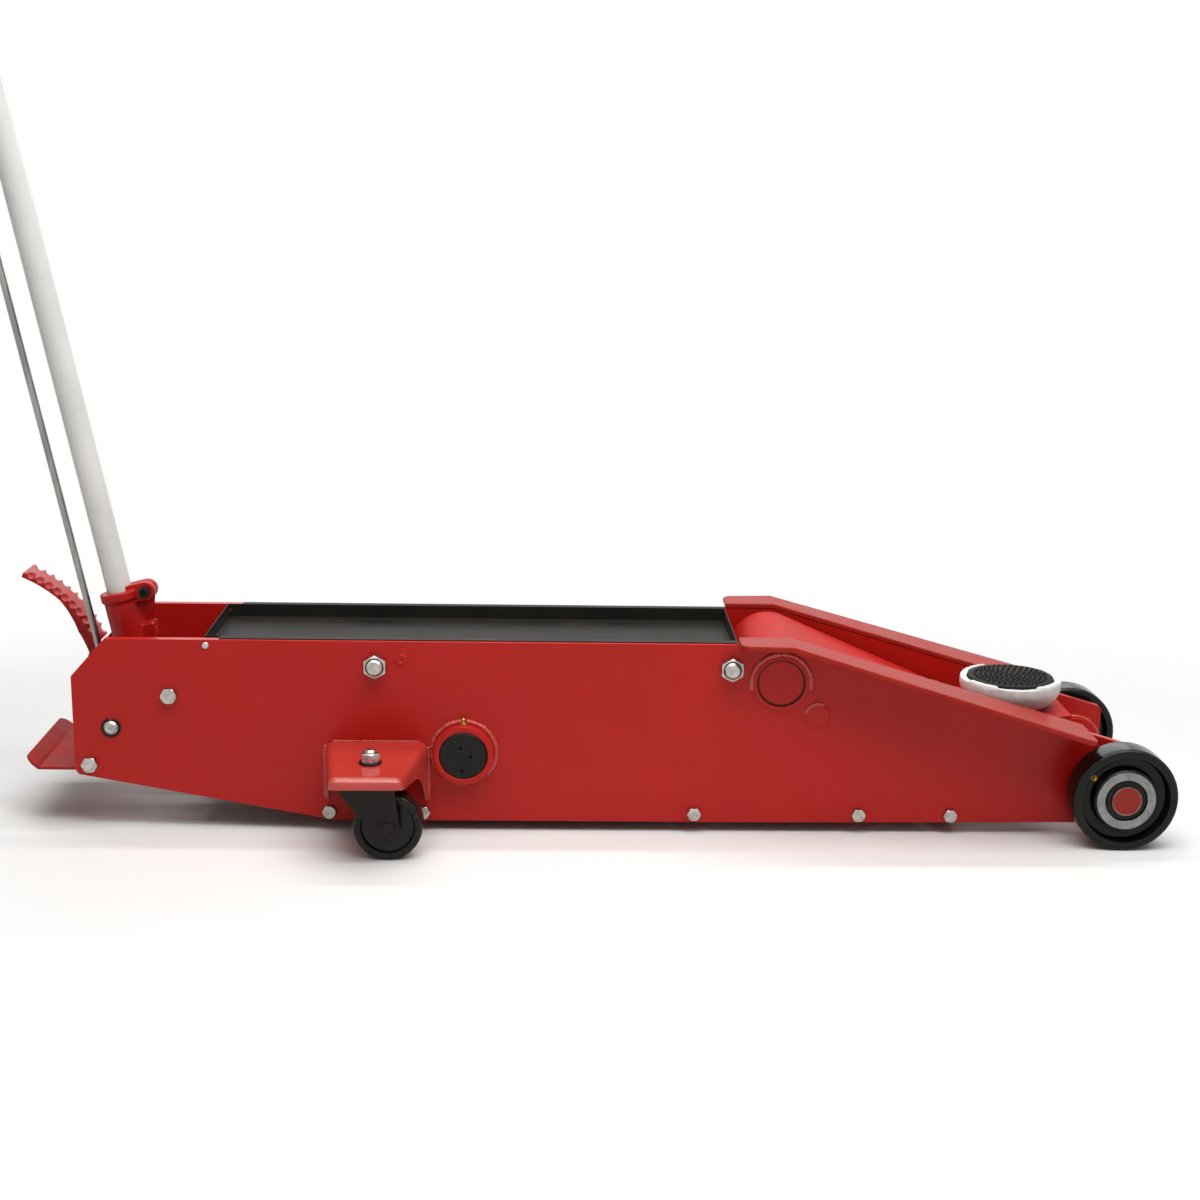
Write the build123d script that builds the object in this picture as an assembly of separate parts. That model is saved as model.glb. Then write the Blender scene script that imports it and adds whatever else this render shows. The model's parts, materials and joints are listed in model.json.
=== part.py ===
from build123d import *
import os
from math import acos, atan2, cos, degrees, hypot, radians, sin, sqrt, tan

# Long-chassis hydraulic trolley jack, in millimetres.
# X runs forward from the rear edge of the side plates, Y to the left, Z up from the floor.
# Every node is moved at the end so that the origin lies on the floor below the middle of the jack.

# Fits and clearances
FIT = 0.1              # radial room of a fixed pin or bolt in its hole
RUN = 0.06             # radial running clearance of a shaft
SEAT_GAP = 0.3         # room between faces that slide or turn past each other
CUT = 1.0              # how far a cut runs past the faces that it opens
PIN_PROUD = 1.0        # end of a pin past the piece that holds it

# Lift linkage: pivot on the chassis, arm to the saddle carrier, levelling links
LIFT_PIVOT = (1001.0, 225.0)
LIFT_SHAFT_R = 33.5
ARM_REACH = 329.0
ARM_DROP = 90.0
LEVEL_DROP = 48.0      # levelling pin below the lift pivot
LEVEL_PIN_R = 17.0
CARRIER_PIN_R = 12.0
LINK_PIN_R = 11.0
LINK_PIN_ROOM = 0.5    # the levelling loop is left open at this pin
LINK_EYE_R = 25.0
LINK_FRONT_R = 20.0
LINK_T = 10.0
LINK_SIDE_GAP = 1.5
LINK_RING_GAP = 5.6    # levelling link clear of the thrust ring
THRUST_RING_T = 8.5    # radial
ARM_T = 10.0
ARM_SIDE_GAP = 3.0
ARM_HEEL_LIP = 1.0     # arm plate round the hub
ARM_TIP_R = 25.0
ARM_NECK_FROM_PIVOT = (243.0, -82.0)
ARM_NECK_R = 30.0
HUB_WALL = 16.5
HOOD_T = 5.0
HOOD_REAR_ANGLE = 182.0
HOOD_SADDLE_GAP = 14.0

# Side plates
CHASSIS_W = 226.0
PLATE_T = 12.0
PLATE_TOP_Z = 281.0
PLATE_BOTTOM_Z = 15.4
PLATE_NOSE_Z = 130.0
PLATE_TOE_RISE = 4.0
PLATE_EDGE_CHAMFER = 0.8
REAR_LOW_Z = 88.0
REAR_TOE = (5.4, 81.5)  # foot of the small corner below the rear edge
REAR_HIGH_Z = 226.0
REAR_CHAMFER_X = 49.0
HEEL_X = 364.0
NOSE_CORNER_R = 9.0
TOE_CORNER_R = 30.0
AXLE_AHEAD = 158.0     # front axle ahead of the carrier pivot
NOSE_AHEAD = 41.0      # front edge of the plates ahead of the axle
FLANGE_REAR_W = 52.0
FLANGE_FRONT_W = 91.0
FLANGE_T = 8.0
FLANGE_REAR = 62.0     # rear end of the flange behind the lift pivot
FLANGE_BEND = 11.0     # bend ahead of the lift pivot
FLANGE_WHEEL_GAP = 18.6  # front end short of the wheel
FLANGE_REAR_R = 14.0
FLANGE_FRONT_R = 18.0

# Front axle and wheels
WHEEL_D = 150.0
WHEEL_W = 45.0
WHEEL_OFF_PLATE = 20.0
WHEEL_EDGE_R = 5.0
WHEEL_RIM_T = 13.0
WHEEL_HUB_R = 45.0
WHEEL_RECESS = 18.0
WHEEL_BACK_RECESS = 12.0
AXLE_R = 21.0
AXLE_PROUD = 2.0
HUB_RING_R = 42.0
HUB_RING_BORE_R = 30.0
HUB_RING_T = 5.0
AXLE_CLIP_R = 28.0
AXLE_CLIP_T = 3.0
AXLE_TUBE_R = 30.0
AXLE_COLLAR_R = 38.0
AXLE_COLLAR_T = 10.0

# Castors
CASTOR_X = 428.0
CASTOR_OUT = 99.0      # swivel axis outside the plate
CASTOR_TRAIL = 24.0
CASTOR_WHEEL_D = 96.0
CASTOR_WHEEL_W = 38.0
CASTOR_AXLE_R = 6.0
CASTOR_CHEEK_T = 4.0
CASTOR_CHEEK_GAP = 2.0
CASTOR_CROWN_REAR = 40.0  # crown plate behind the swivel axis
CASTOR_CROWN_FRONT = 34.5
CASTOR_CROWN_T = 6.0
CASTOR_RACE_R = 22.0
CASTOR_RACE_T = 26.0
CASTOR_LEG_R = 17.5
CASTOR_AXLE_HEAD_R = 11.0
CASTOR_AXLE_PROUD = 4.0
CASTOR_RIM_T = 10.0
CASTOR_HUB_T = 8.0
CASTOR_RECESS = 7.0
KING_BOLT_R = 8.0
KING_BOLT_END = 4.0    # thread above the nut
KING_HEAD_R = 13.0
KING_HEAD_H = 8.0
KING_WASHER_R = 15.5
KING_WASHER_T = 3.0
BRACKET_TOP_Z = 134.5
BRACKET_T = 5.0
BRACKET_LOW_Z = 47.0
BRACKET_LIP_Z = 118.0
BRACKET_OUT = 167.0    # front of the bracket outside the plate
BRACKET_BACK = (354.5, 501.0)
BRACKET_FRONT = (377.0, 477.0)
BRACKET_BEND_R = 12.0
GUSSET_FOOT = 6.0      # lower edge of the gussets beside the plate
GUSSET_HOLLOW = (32.1, 81.0)  # points of the gussets' hollow edge, out from the plate and up
GUSSET_KNEE = (71.3, 102.0)

# Hydraulic unit
TRUNNION = (551.2, 118.75)
TRUNNION_R = 34.0
TRUNNION_BOSS_R = 43.5
TRUNNION_BOSS_L = 18.0
BOSS_CHAMFER = 1.2
TRUNNION_CENTRE_R = 3.0
SPANNER_HOLE_R = 2.5
SPANNER_HOLE_DEPTH = 5.0
SPANNER_CIRCLE_R = 21.0
SPANNER_ANGLES = (90, 210, 330)
TRUNNION_BLOCK_L = 110.0
TRUNNION_BLOCK_WALL = 11.0
TRUNNION_SIDE_GAP = 25.0
RESERVOIR_R = 56.0
RESERVOIR_WALL = 4.0
CYLINDER_R = 42.0
CYLINDER_BORE_R = 32.0
CYLINDER_FEED_R = 8.0
GLAND_L = 28.0
GLAND_CHAMFER = 3.0
ROD_R = 22.5
ROD_SHOWN = 48.0       # rod between the gland and the crosshead, arm down
PISTON_L = 25.0
PISTON_START = 10.0
PISTON_END_ROOM = 16.0
ROD_SPIGOT_R = 11.0
ROD_SPIGOT_L = 14.0
CRANK_R = 115.0
LIFT_TRAVEL = 70.0     # degrees
CRANK_PIN_R = 14.0
CRANK_PIN_ROOM = 2.0   # side room of the crank pin in the crosshead slot
CRANK_EYE_R = 24.0
CRANK_ROOT_R = 42.0
CRANK_WEB_Y = (28.0, 44.0)
CROSSHEAD_HALF_W = 25.0
CROSSHEAD_REAR = 54.0
CROSSHEAD_FRONT = 32.0
CROSSHEAD_WALL = 12.0
CASTING_R = 8.0
SPRING_LUG_R = 6.0
SPRING_LUG_SETBACK = 4.0
SPRING_STUD_R = 5.0
RETURN_SPRING_R = 9.0
RETURN_SPRING_WIRE = 3.0
SPRING_STUD_L = 26.0
PUMP_BLOCK_X = (170.0, 290.0)
PUMP_BLOCK_Z = (66.0, 172.0)
PUMP_BLOCK_SIDE_GAP = 17.0
FILLER_X = 400.0
FILLER_R = 8.0
FILLER_HEX = (22.0, 9.0)
FILLER_DEPTH = 10.0
VALVE_AT = (-42.0, 142.0)
VALVE_STEM_R = 6.0
VALVE_STEM_OUT = 22.0
VALVE_STEM_IN = 28.0
VALVE_BORE = 30.0
PLUNGER_BORE_END = 20.0  # metal left ahead of the plunger bores

# Handle and pump drive, about the handle pivot
HANDLE_PIVOT = (53.5, 151.6)
PIVOT_SHAFT_R = 10.0
PIVOT_SHAFT_PROUD = 5.0
PIVOT_CLIP_R = 14.0
PIVOT_CLIP_T = 1.8
PIVOT_CLIP_MOUTH = 6.0
PIVOT_SPACER_R = 15.0
HANDLE_LEAN = 11.6     # degrees back from upright
HANDLE_FORWARD = 29.0  # handle axis ahead of the pivot
HANDLE_R = 18.0
HANDLE_WALL = 3.2
HANDLE_TOP = 1262.0
TUBE_PLUG = 5.0        # closed end of the tube below the cross bar
HANDLE_SWING = 50.0    # degrees back from its forward stop
CROSS_BAR_R = 14.0
CROSS_BAR_HALF = 195.0
GRIP_T = 4.0
GRIP_EDGE_R = 4.0
GRIP_L = 125.0
GRIP_END_T = 5.0
SOCKET_WALL = 8.0
SOCKET_COLLAR_T = 3.0
SOCKET_COLLAR_L = 13.0
SOCKET_FLOOR = 66.0
SOCKET_BASE_T = 20.0
SOCKET_SLIT_FROM = 106.0
SOCKET_TOP = 170.0
SOCKET_RIB = ((78.0, 158.0), (66.0, 116.0))  # outer corners of the rib below the clamp ears
SOCKET_RIB_FOOT = 92.0
SOCKET_RIB_T = 12.0
SOCKET_LUG = (93.0, 117.0)
SOCKET_LUG_W = 28.0
CLAMP_SLIT = 4.0
CLAMP_EAR_T = 12.0
CLAMP_SCREW_AT = (68.0, 164.0)
CLAMP_SCREW_R = 5.0
CLAMP_EAR_R = 14.0
CLAMP_EAR_ROOT_R = 12.0
CLAMP_SCREW_PROUD = 3.0
CLAMP_HEAD_R = 8.0
CLAMP_HEAD_H = 10.0
CLAMP_KEY_R = 4.5
YOKE_HALF_W = 30.0
YOKE_GAP_HALF = 12.0
YOKE_GAP_TOP = 40.0
YOKE_EYE_R = 24.0
TOE_REACH = 45.0
TOE_R = 10.0
TOE_STRAP_R = 12.0
TOE_GAP = 0.7
PLUNGER_R = 11.0
PLUNGER_Z = 108.0
PLUNGER_END_X = 225.0
PLUNGER_COLLAR_X = 100.0
PLUNGER_COLLAR_T = 6.0
PLUNGER_COLLAR_R = 18.0
PLUNGER_NOSE_R = 5.0
PLUNGER_NOSE_L = 9.0
PUMP_SPRING_R = 17.0
PUMP_SPRING_WIRE = 4.0

# Release gear on the handle
ROD_BEHIND = 50.0      # release rod behind the handle axis
RELEASE_ROD_R = 5.0
RELEASE_TRAVEL = 10.0
RELEASE_EYE_R = 8.0
RELEASE_EYE_HALF_T = 4.5
RELEASE_PIN_R = 4.0
RELEASE_PIN_ROOM = 0.9
RELEASE_PLATE_T = 6.0
RELEASE_EYE_GAP = 0.5
CRANK_HUB_R = 16.0
CRANK_FINGER = 22.0
CRANK_FINGER_ANGLE = -70.0
TRIGGER_UP = 1190.0    # along the handle
TRIGGER_TUBE_GAP = 0.5
TRIGGER_L = 105.0
TRIGGER_EYE_R = 8.5
TRIGGER_TIP_R = 8.0
TRIGGER_LUG_R = 9.0
TRIGGER_PIN_PROUD = 2.0
ROD_GUIDE_AT = 900.0
ROD_GUIDE_R = 10.0
ROD_GUIDE_L = 14.0
ROD_GUIDE_WEB = 8.0
ROD_GUIDE_ROOM = 0.4

# Quick-lift pedal
PEDAL_YOKE_GAP = 4.0
PEDAL_W = 58.0
PEDAL_WEB_T = 16.0
PEDAL_ARC_AT = (-175.6, 162.0)
PEDAL_ARC_R = 195.0
PEDAL_ARC = (22.3, 67.2)
PEDAL_TREAD_T = 8.0
PEDAL_WEB_DEPTH = 18.0
PEDAL_WEB_ARC = (14.0, 63.0)
PEDAL_HUB_R = 22.0
PEDAL_NECK_R = 16.0
PEDAL_SWING = 25.0
PEDAL_TOE_GAP = 0.4
PEDAL_TOE_STRAP_R = 8.0
SCALLOP_R = 5.5
SCALLOP_PITCH = 14.5
SCALLOP_START = 0.7    # first scallop, in pitches from the lower end

# Saddle
SADDLE_AHEAD = 27.0    # saddle axis ahead of the carrier pivot
SEAT_ABOVE = 28.0      # seat plate top above the carrier pivot
SEAT_T = 12.0
SEAT_SIDE_GAP = 2.5
SEAT_REAR = 34.0
SEAT_SHOULDER = 55.0
SEAT_NOSE = 107.0
SEAT_NOSE_HALF_W = 55.0
CHEEK_T = 13.0
CHEEK_EYE_R = 22.0
STEM_R = 12.5
STEM_L = 22.0
CUP_FOOT_R = 46.0
CUP_RIM_R = 74.5
CUP_RIM_T = 10.5
CUP_H = 44.0
CUP_SHOULDER = 30.0    # height of the bowl's widest part above its foot
CUP_BOWL = (9.0, 12.1) # point on the bowl, in from the rim and up from the foot
CUP_NOTCH_W = 56.0
CUP_NOTCH_DEPTH = 3.5
PAD_SEAT = 32.0        # pad seat above the cup's foot
PAD_T = 16.5
PAD_GAP = 1.0

# Tool tray
TRAY_REAR_X = 186.0
TRAY_HOOD_GAP = 7.0    # front of the tray behind the arm hood
TRAY_T = 1.5
TRAY_DEPTH = 21.0
TRAY_SIDE_GAP = 0.4
TRAY_FLANGE_SETBACK = 22.0
TRAY_BEND_R = 4.0

# Foot plate
FOOT_T = 4.0
FOOT_Z = 84.0
FOOT_FRONT_X = 46.0
FOOT_REAR_X = -56.0
FOOT_LIP = (-75.0, 100.0)
FOOT_TAB_H = 30.0
FOOT_TAB_X = (4.0, 44.0)
FOOT_TAB_T = 10.0
FOOT_CORNER_R = 18.0

# Fasteners: across flats, head height, shank radius
M20_NUT = (30.0, 16.0, 10.0)
M16_NUT = (24.0, 13.0, 8.0)
M14_BOLT = (21.0, 9.0, 7.0)
M12_BOLT = (18.0, 7.5, 6.0)
BOLT_IN_BAR = 22.0
LOWER_BOLTS = ((359.0, 29.0), (493.0, 29.0))
LOWER_BOLTS_FROM_PIVOT = (-119.0, 119.0, 252.0)
LOWER_BAR_HALF = 12.0
REAR_BAR_AT = (137.0, 200.0)
REAR_BAR_R = 15.0
FOOT_BOLT_AT = (22.0, 97.5)
TIE_ROD_REAR = (427.0, 247.0)
TIE_ROD_RISE = 22.0    # front tie rod above the lift pivot
TIE_ROD_HOOD_GAP = 6.3  # front tie rod behind the arm hood
TIE_ROD_SHOULDER_R = 12.0
TIE_ROD_END = 5.0
TRAY_SCREW_AT = (190.0, 273.0)
TRAY_SCREW_R = 2.5
TRAY_SCREW_HEAD_R = 5.0
TRAY_SCREW_HEAD_H = 3.0
TRAY_SCREW_DOME_R = 1.8
HEX_CORNER = 0.07      # turned-down corner of a hexagon, as a share of its width

# Places worked out from the sizes above
HALF_W = CHASSIS_W / 2
HUB_R = LIFT_SHAFT_R + HUB_WALL
ARM_HEEL_R = HUB_R + ARM_HEEL_LIP
HOOD_R = ARM_HEEL_R + HOOD_T
THRUST_RING_R = LIFT_SHAFT_R + THRUST_RING_T
LEVEL_REACH = THRUST_RING_R + LINK_RING_GAP + LINK_EYE_R
LEVEL_OFFSET = (sqrt(LEVEL_REACH**2 - LEVEL_DROP**2), -LEVEL_DROP)
INNER_Y = HALF_W - PLATE_T
LINK_Y = (INNER_Y - LINK_SIDE_GAP - LINK_T, INNER_Y - LINK_SIDE_GAP)
ARM_Y = (LINK_Y[0] - ARM_SIDE_GAP - ARM_T, LINK_Y[0] - ARM_SIDE_GAP)
CHEEK_Y = (ARM_Y[0] - SEAT_SIDE_GAP - CHEEK_T, ARM_Y[0] - SEAT_SIDE_GAP)
LEVEL_PIN = (LIFT_PIVOT[0] + LEVEL_OFFSET[0], LIFT_PIVOT[1] + LEVEL_OFFSET[1])
CARRIER_PIN = (LIFT_PIVOT[0] + ARM_REACH, LIFT_PIVOT[1] - ARM_DROP)
ARM_NECK = (LIFT_PIVOT[0] + ARM_NECK_FROM_PIVOT[0], LIFT_PIVOT[1] + ARM_NECK_FROM_PIVOT[1])
LINK_PIN = (CARRIER_PIN[0] + LEVEL_OFFSET[0], CARRIER_PIN[1] + LEVEL_OFFSET[1])
SADDLE_X = CARRIER_PIN[0] + SADDLE_AHEAD
SEAT_Z = CARRIER_PIN[1] + SEAT_ABOVE
AXLE = (CARRIER_PIN[0] + AXLE_AHEAD, WHEEL_D / 2)
PLATE_FRONT_X = AXLE[0] + NOSE_AHEAD
BEND_X = LIFT_PIVOT[0] + FLANGE_BEND
NOSE_FALL = (PLATE_TOP_Z - PLATE_NOSE_Z) / (PLATE_FRONT_X - BEND_X)
TIE_ROD_REACH = HOOD_R + TIE_ROD_HOOD_GAP + TIE_ROD_SHOULDER_R
TIE_ROD_BACK = sqrt(TIE_ROD_REACH**2 - TIE_ROD_RISE**2)
TIE_ROD_FRONT = (LIFT_PIVOT[0] - TIE_ROD_BACK, LIFT_PIVOT[1] + TIE_ROD_RISE)
LOWER_BAR_Z = LOWER_BOLTS[0][1]
LOWER_AT = [*LOWER_BOLTS, *[(LIFT_PIVOT[0] + x, LOWER_BAR_Z) for x in LOWER_BOLTS_FROM_PIVOT]]
RAM_Z = TRUNNION[1]
CRANK_REST = radians(LIFT_TRAVEL / 2)
CRANK_PIN = (LIFT_PIVOT[0] - CRANK_R * sin(CRANK_REST), LIFT_PIVOT[1] - CRANK_R * cos(CRANK_REST))
CRANK_LOW_Z = LIFT_PIVOT[1] - CRANK_R
SLOT_R = CRANK_PIN_R + CRANK_PIN_ROOM
RAM_STROKE = 2 * CRANK_R * sin(CRANK_REST)
CROSSHEAD_X = (CRANK_PIN[0] - CROSSHEAD_REAR, CRANK_PIN[0] + CROSSHEAD_FRONT)
GLAND_X = (CROSSHEAD_X[0] - ROD_SHOWN - GLAND_L, CROSSHEAD_X[0] - ROD_SHOWN)
CYLINDER_BASE_X = GLAND_X[0] - PISTON_END_ROOM - PISTON_L - RAM_STROKE - PISTON_START
TRUNNION_BLOCK_X = (TRUNNION[0] - TRUNNION_BLOCK_L / 2, TRUNNION[0] + TRUNNION_BLOCK_L / 2)
TRUNNION_BLOCK_HALF_W = INNER_Y - TRUNNION_SIDE_GAP
SPRING_Y = RESERVOIR_R + RETURN_SPRING_R + RETURN_SPRING_WIRE
SPRING_LUG_X = CROSSHEAD_X[0] + SPRING_LUG_R + SPRING_LUG_SETBACK
WHEEL_RIM_R = WHEEL_D / 2 - WHEEL_RIM_T
WHEEL_IN_Y = HALF_W + WHEEL_OFF_PLATE
WHEEL_OUT_Y = WHEEL_IN_Y + WHEEL_W
CASTOR_Y = HALF_W + CASTOR_OUT
CASTOR_AXLE = (CASTOR_X + CASTOR_TRAIL, CASTOR_WHEEL_D / 2)
CASTOR_CHEEK_Y = CASTOR_WHEEL_W / 2 + CASTOR_CHEEK_GAP
CROWN_TOP_Z = BRACKET_TOP_Z - BRACKET_T - SEAT_GAP - CASTOR_RACE_T
TRAY_FRONT_X = LIFT_PIVOT[0] - HOOD_R - TRAY_HOOD_GAP
TRAY_Y = INNER_Y - TRAY_SIDE_GAP
TRAY_FLOOR_Z = PLATE_TOP_Z - TRAY_DEPTH
PEDAL_Y = (YOKE_HALF_W + PEDAL_YOKE_GAP, YOKE_HALF_W + PEDAL_YOKE_GAP + PEDAL_W)
PEDAL_MID_Y = (PEDAL_Y[0] + PEDAL_Y[1]) / 2
SOCKET_R = HANDLE_R + SOCKET_WALL
GRIP_R = CROSS_BAR_R + GRIP_T
ROD_LINE = HANDLE_FORWARD - ROD_BEHIND
HANDLE_FRAME = Pos(HANDLE_PIVOT[0], 0, HANDLE_PIVOT[1]) * Rot(0, -HANDLE_LEAN, 0)
RELEASE_TILT = RELEASE_TRAVEL / 2 / ROD_LINE
RELEASE_FOOT = (ROD_LINE, -abs(ROD_LINE * tan(RELEASE_TILT)))
TRIGGER_AT = (HANDLE_FORWARD - HANDLE_R - TRIGGER_TUBE_GAP - TRIGGER_EYE_R, TRIGGER_UP)
RELEASE_HEAD = (ROD_LINE, TRIGGER_AT[1] + RELEASE_FOOT[1])
BASE = (Align.CENTER, Align.CENTER, Align.MIN)


# Plain building blocks
def bar_y(r, y0, y1, at):
    """Round bar along Y about the point at = (x, z)."""
    return Pos(at[0], (y0 + y1) / 2, at[1]) * Rot(90, 0, 0) * Cylinder(r, y1 - y0)


def ring_y(r, bore, y0, y1, at):
    return bar_y(r, y0, y1, at) - bar_y(bore, y0 - CUT, y1 + CUT, at)


def bar_x(r, x0, x1, y, z):
    return Pos((x0 + x1) / 2, y, z) * Rot(0, 90, 0) * Cylinder(r, x1 - x0)


def bar_z(r, z0, z1, x, y):
    return Pos(x, y, z0) * Cylinder(r, z1 - z0, align=BASE)


def block(x, y, z):
    """Box between the low and high value on each axis."""
    ranges = (x, y, z)
    middle = [(low + high) / 2 for low, high in ranges]
    size = [high - low for low, high in ranges]
    return Pos(*middle) * Box(*size)


def outline(*points):
    return make_face(Polyline(*points, close=True))


def slab_y(shape, y0, y1):
    """Flat plate of an outline drawn in X and Z."""
    return extrude(Plane.XZ.offset(-y1) * shape, amount=y1 - y0)


def rounded(shape, corner, r):
    return fillet(shape.vertices().sort_by_distance((*corner, 0))[0], r)


def strap(a, r_a, b, r_b):
    """Outline of a bar with a round end about each of two points."""
    lean = atan2(b[1] - a[1], b[0] - a[0])
    spread = acos((r_a - r_b) / hypot(b[0] - a[0], b[1] - a[1]))
    corners = []
    for turn, centre, r in ((spread, a, r_a), (spread, b, r_b), (-spread, b, r_b), (-spread, a, r_a)):
        corners.append((centre[0] + r * cos(lean + turn), centre[1] + r * sin(lean + turn)))
    return outline(*corners) + Pos(*a) * Circle(r_a) + Pos(*b) * Circle(r_b)


def ring_sector(centre, r_in, r_out, start, end):
    """Outline between two arcs about one centre, from one angle to another in degrees."""
    outer = CenterArc(centre, r_out, start, end - start)
    inner = CenterArc(centre, r_in, start, end - start)
    return make_face([outer, inner, Line(outer @ 0, inner @ 0), Line(outer @ 1, inner @ 1)])


def polar(centre, r, angle):
    return (centre[0] + r * cos(radians(angle)), centre[1] + r * sin(radians(angle)))


def left_of(shape):
    return mirror(shape, about=Plane.XZ)


def pair(shape):
    """The right-hand piece and its left-hand twin."""
    return [shape, left_of(shape)]


def on_right(at):
    """Place a fastener on the outside of the right plate, its head outwards."""
    return Pos(at[0], -HALF_W, at[1]) * Rot(90, 0, 0)


def hexagon(across, height):
    corner_r = across / sqrt(3)
    turned = Cylinder(corner_r, height, align=BASE)
    rim = turned.edges().filter_by(GeomType.CIRCLE).sort_by(Axis.Z)[-1]
    return extrude(RegularPolygon(corner_r, 6), height) & chamfer(rim, HEX_CORNER * across)


def bolt(size, shank_l):
    across, head_h, shank_r = size
    shank = Pos(0, 0, -shank_l) * Cylinder(shank_r, shank_l, align=BASE)
    return hexagon(across, head_h) + shank


def nut(size):
    across, height, thread_r = size
    return hexagon(across, height) - Cylinder(thread_r + FIT, height * 3)


# Chassis
def nose_z(x):
    """Height of the plates' falling top edge."""
    return PLATE_TOP_Z - (x - BEND_X) * NOSE_FALL


def plate_outline():
    toe = (PLATE_FRONT_X, PLATE_BOTTOM_Z + PLATE_TOE_RISE)
    nose = (PLATE_FRONT_X, nose_z(PLATE_FRONT_X))
    shape = outline(
        (0, REAR_LOW_Z),
        REAR_TOE,
        (HEEL_X, PLATE_BOTTOM_Z),
        (LIFT_PIVOT[0], PLATE_BOTTOM_Z),
        toe,
        nose,
        (BEND_X, PLATE_TOP_Z),
        (REAR_CHAMFER_X, PLATE_TOP_Z),
        (0, REAR_HIGH_Z),
    )
    return rounded(rounded(shape, toe, TOE_CORNER_R), nose, NOSE_CORNER_R)


def plate_holes():
    holes = [
        (LIFT_PIVOT, LIFT_SHAFT_R),
        (LEVEL_PIN, LEVEL_PIN_R),
        (TRUNNION, TRUNNION_R),
        (AXLE, AXLE_R),
        (HANDLE_PIVOT, PIVOT_SHAFT_R),
        (TIE_ROD_REAR, M20_NUT[2]),
        (TIE_ROD_FRONT, M20_NUT[2]),
        (REAR_BAR_AT, M14_BOLT[2]),
        (FOOT_BOLT_AT, M14_BOLT[2]),
        (TRAY_SCREW_AT, TRAY_SCREW_R),
    ]
    return holes + [(at, M12_BOLT[2]) for at in LOWER_AT]


def side_plate():
    plate = slab_y(plate_outline(), -HALF_W, -INNER_Y)
    plate = chamfer(plate.faces().sort_by(Axis.Y)[0].edges(), PLATE_EDGE_CHAMFER)
    for at, r in plate_holes():
        plate -= bar_y(r + FIT, -HALF_W - CUT, -INNER_Y + CUT, at)
    return plate


def flange_front():
    """Where the underside of the flange comes near the wheel."""
    reach = WHEEL_D / 2 + FLANGE_WHEEL_GAP
    slope = atan2(NOSE_FALL, 1)
    above = (nose_z(AXLE[0]) - AXLE[1]) * cos(slope)
    along = sqrt(max(0, reach**2 - above**2))
    return AXLE[0] + above * sin(slope) - along * cos(slope)


def top_flange():
    """Plate on the side plate's top edge, bent at the nose and wider towards its front end."""
    rear_x = LIFT_PIVOT[0] - FLANGE_REAR
    front_x = flange_front()
    lift = FLANGE_T * hypot(1, NOSE_FALL)
    profile = outline(
        (rear_x, PLATE_TOP_Z),
        (BEND_X, PLATE_TOP_Z),
        (front_x, nose_z(front_x)),
        (front_x, nose_z(front_x) + lift),
        (BEND_X + (lift - FLANGE_T) / NOSE_FALL, PLATE_TOP_Z + FLANGE_T),
        (rear_x, PLATE_TOP_Z + FLANGE_T),
    )
    rear_corner = (rear_x, -INNER_Y - FLANGE_REAR_W)
    front_corner = (front_x, -INNER_Y - FLANGE_FRONT_W)
    plan = outline((rear_x, -INNER_Y), rear_corner, front_corner, (front_x, -INNER_Y))
    plan = rounded(rounded(plan, rear_corner, FLANGE_REAR_R), front_corner, FLANGE_FRONT_R)
    return slab_y(profile, front_corner[1], -INNER_Y) & extrude(plan, PLATE_TOP_Z + FLANGE_T)


def foot_plate():
    """Bent sheet at the rear: level, then a turned-up lip, with a tapped tab inside each plate."""
    sheet = block((FOOT_REAR_X, FOOT_FRONT_X), (-TRAY_Y, TRAY_Y), (FOOT_Z, FOOT_Z + FOOT_T))
    run = FOOT_REAR_X - FOOT_LIP[0]
    rise = FOOT_LIP[1] - FOOT_Z
    across = FOOT_T / hypot(run, rise)
    profile = outline(
        (FOOT_REAR_X + across * rise, FOOT_Z),
        (FOOT_REAR_X, FOOT_Z),
        FOOT_LIP,
        (FOOT_LIP[0] + across * rise, FOOT_LIP[1] + across * run),
        (FOOT_REAR_X + across * rise, FOOT_Z + FOOT_T),
    )
    lip = slab_y(profile, -TRAY_Y, TRAY_Y)
    end = lip.faces().sort_by(Axis.X)[0]
    plate = sheet + fillet(end.edges().filter_by(Axis.Y, reverse=True), FOOT_CORNER_R)
    for side in (-1, 1):
        tab_y = sorted((side * TRAY_Y, side * (TRAY_Y - FOOT_TAB_T)))
        plate += block(FOOT_TAB_X, tab_y, (FOOT_Z, FOOT_Z + FOOT_TAB_H))
    return plate - bar_y(M14_BOLT[2] + FIT, -HALF_W, HALF_W, FOOT_BOLT_AT)


def cross_bars():
    bars = []
    for x, z in LOWER_AT:
        bar = block(
            (x - LOWER_BAR_HALF, x + LOWER_BAR_HALF),
            (-INNER_Y, INNER_Y),
            (z - LOWER_BAR_HALF, z + LOWER_BAR_HALF),
        )
        bars.append(tapped(bar, (x, z), M12_BOLT[2]))
    rear_bar = bar_y(REAR_BAR_R, -INNER_Y, INNER_Y, REAR_BAR_AT)
    return [*bars, tapped(rear_bar, REAR_BAR_AT, M14_BOLT[2])]


def tapped(bar, at, r):
    """Cut the bolt hole into each end of a cross bar."""
    depth = BOLT_IN_BAR + CUT
    for y0, y1 in ((-INNER_Y - CUT, -INNER_Y + depth), (INNER_Y - depth, INNER_Y + CUT)):
        bar -= bar_y(r + FIT, y0, y1, at)
    return bar


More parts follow.
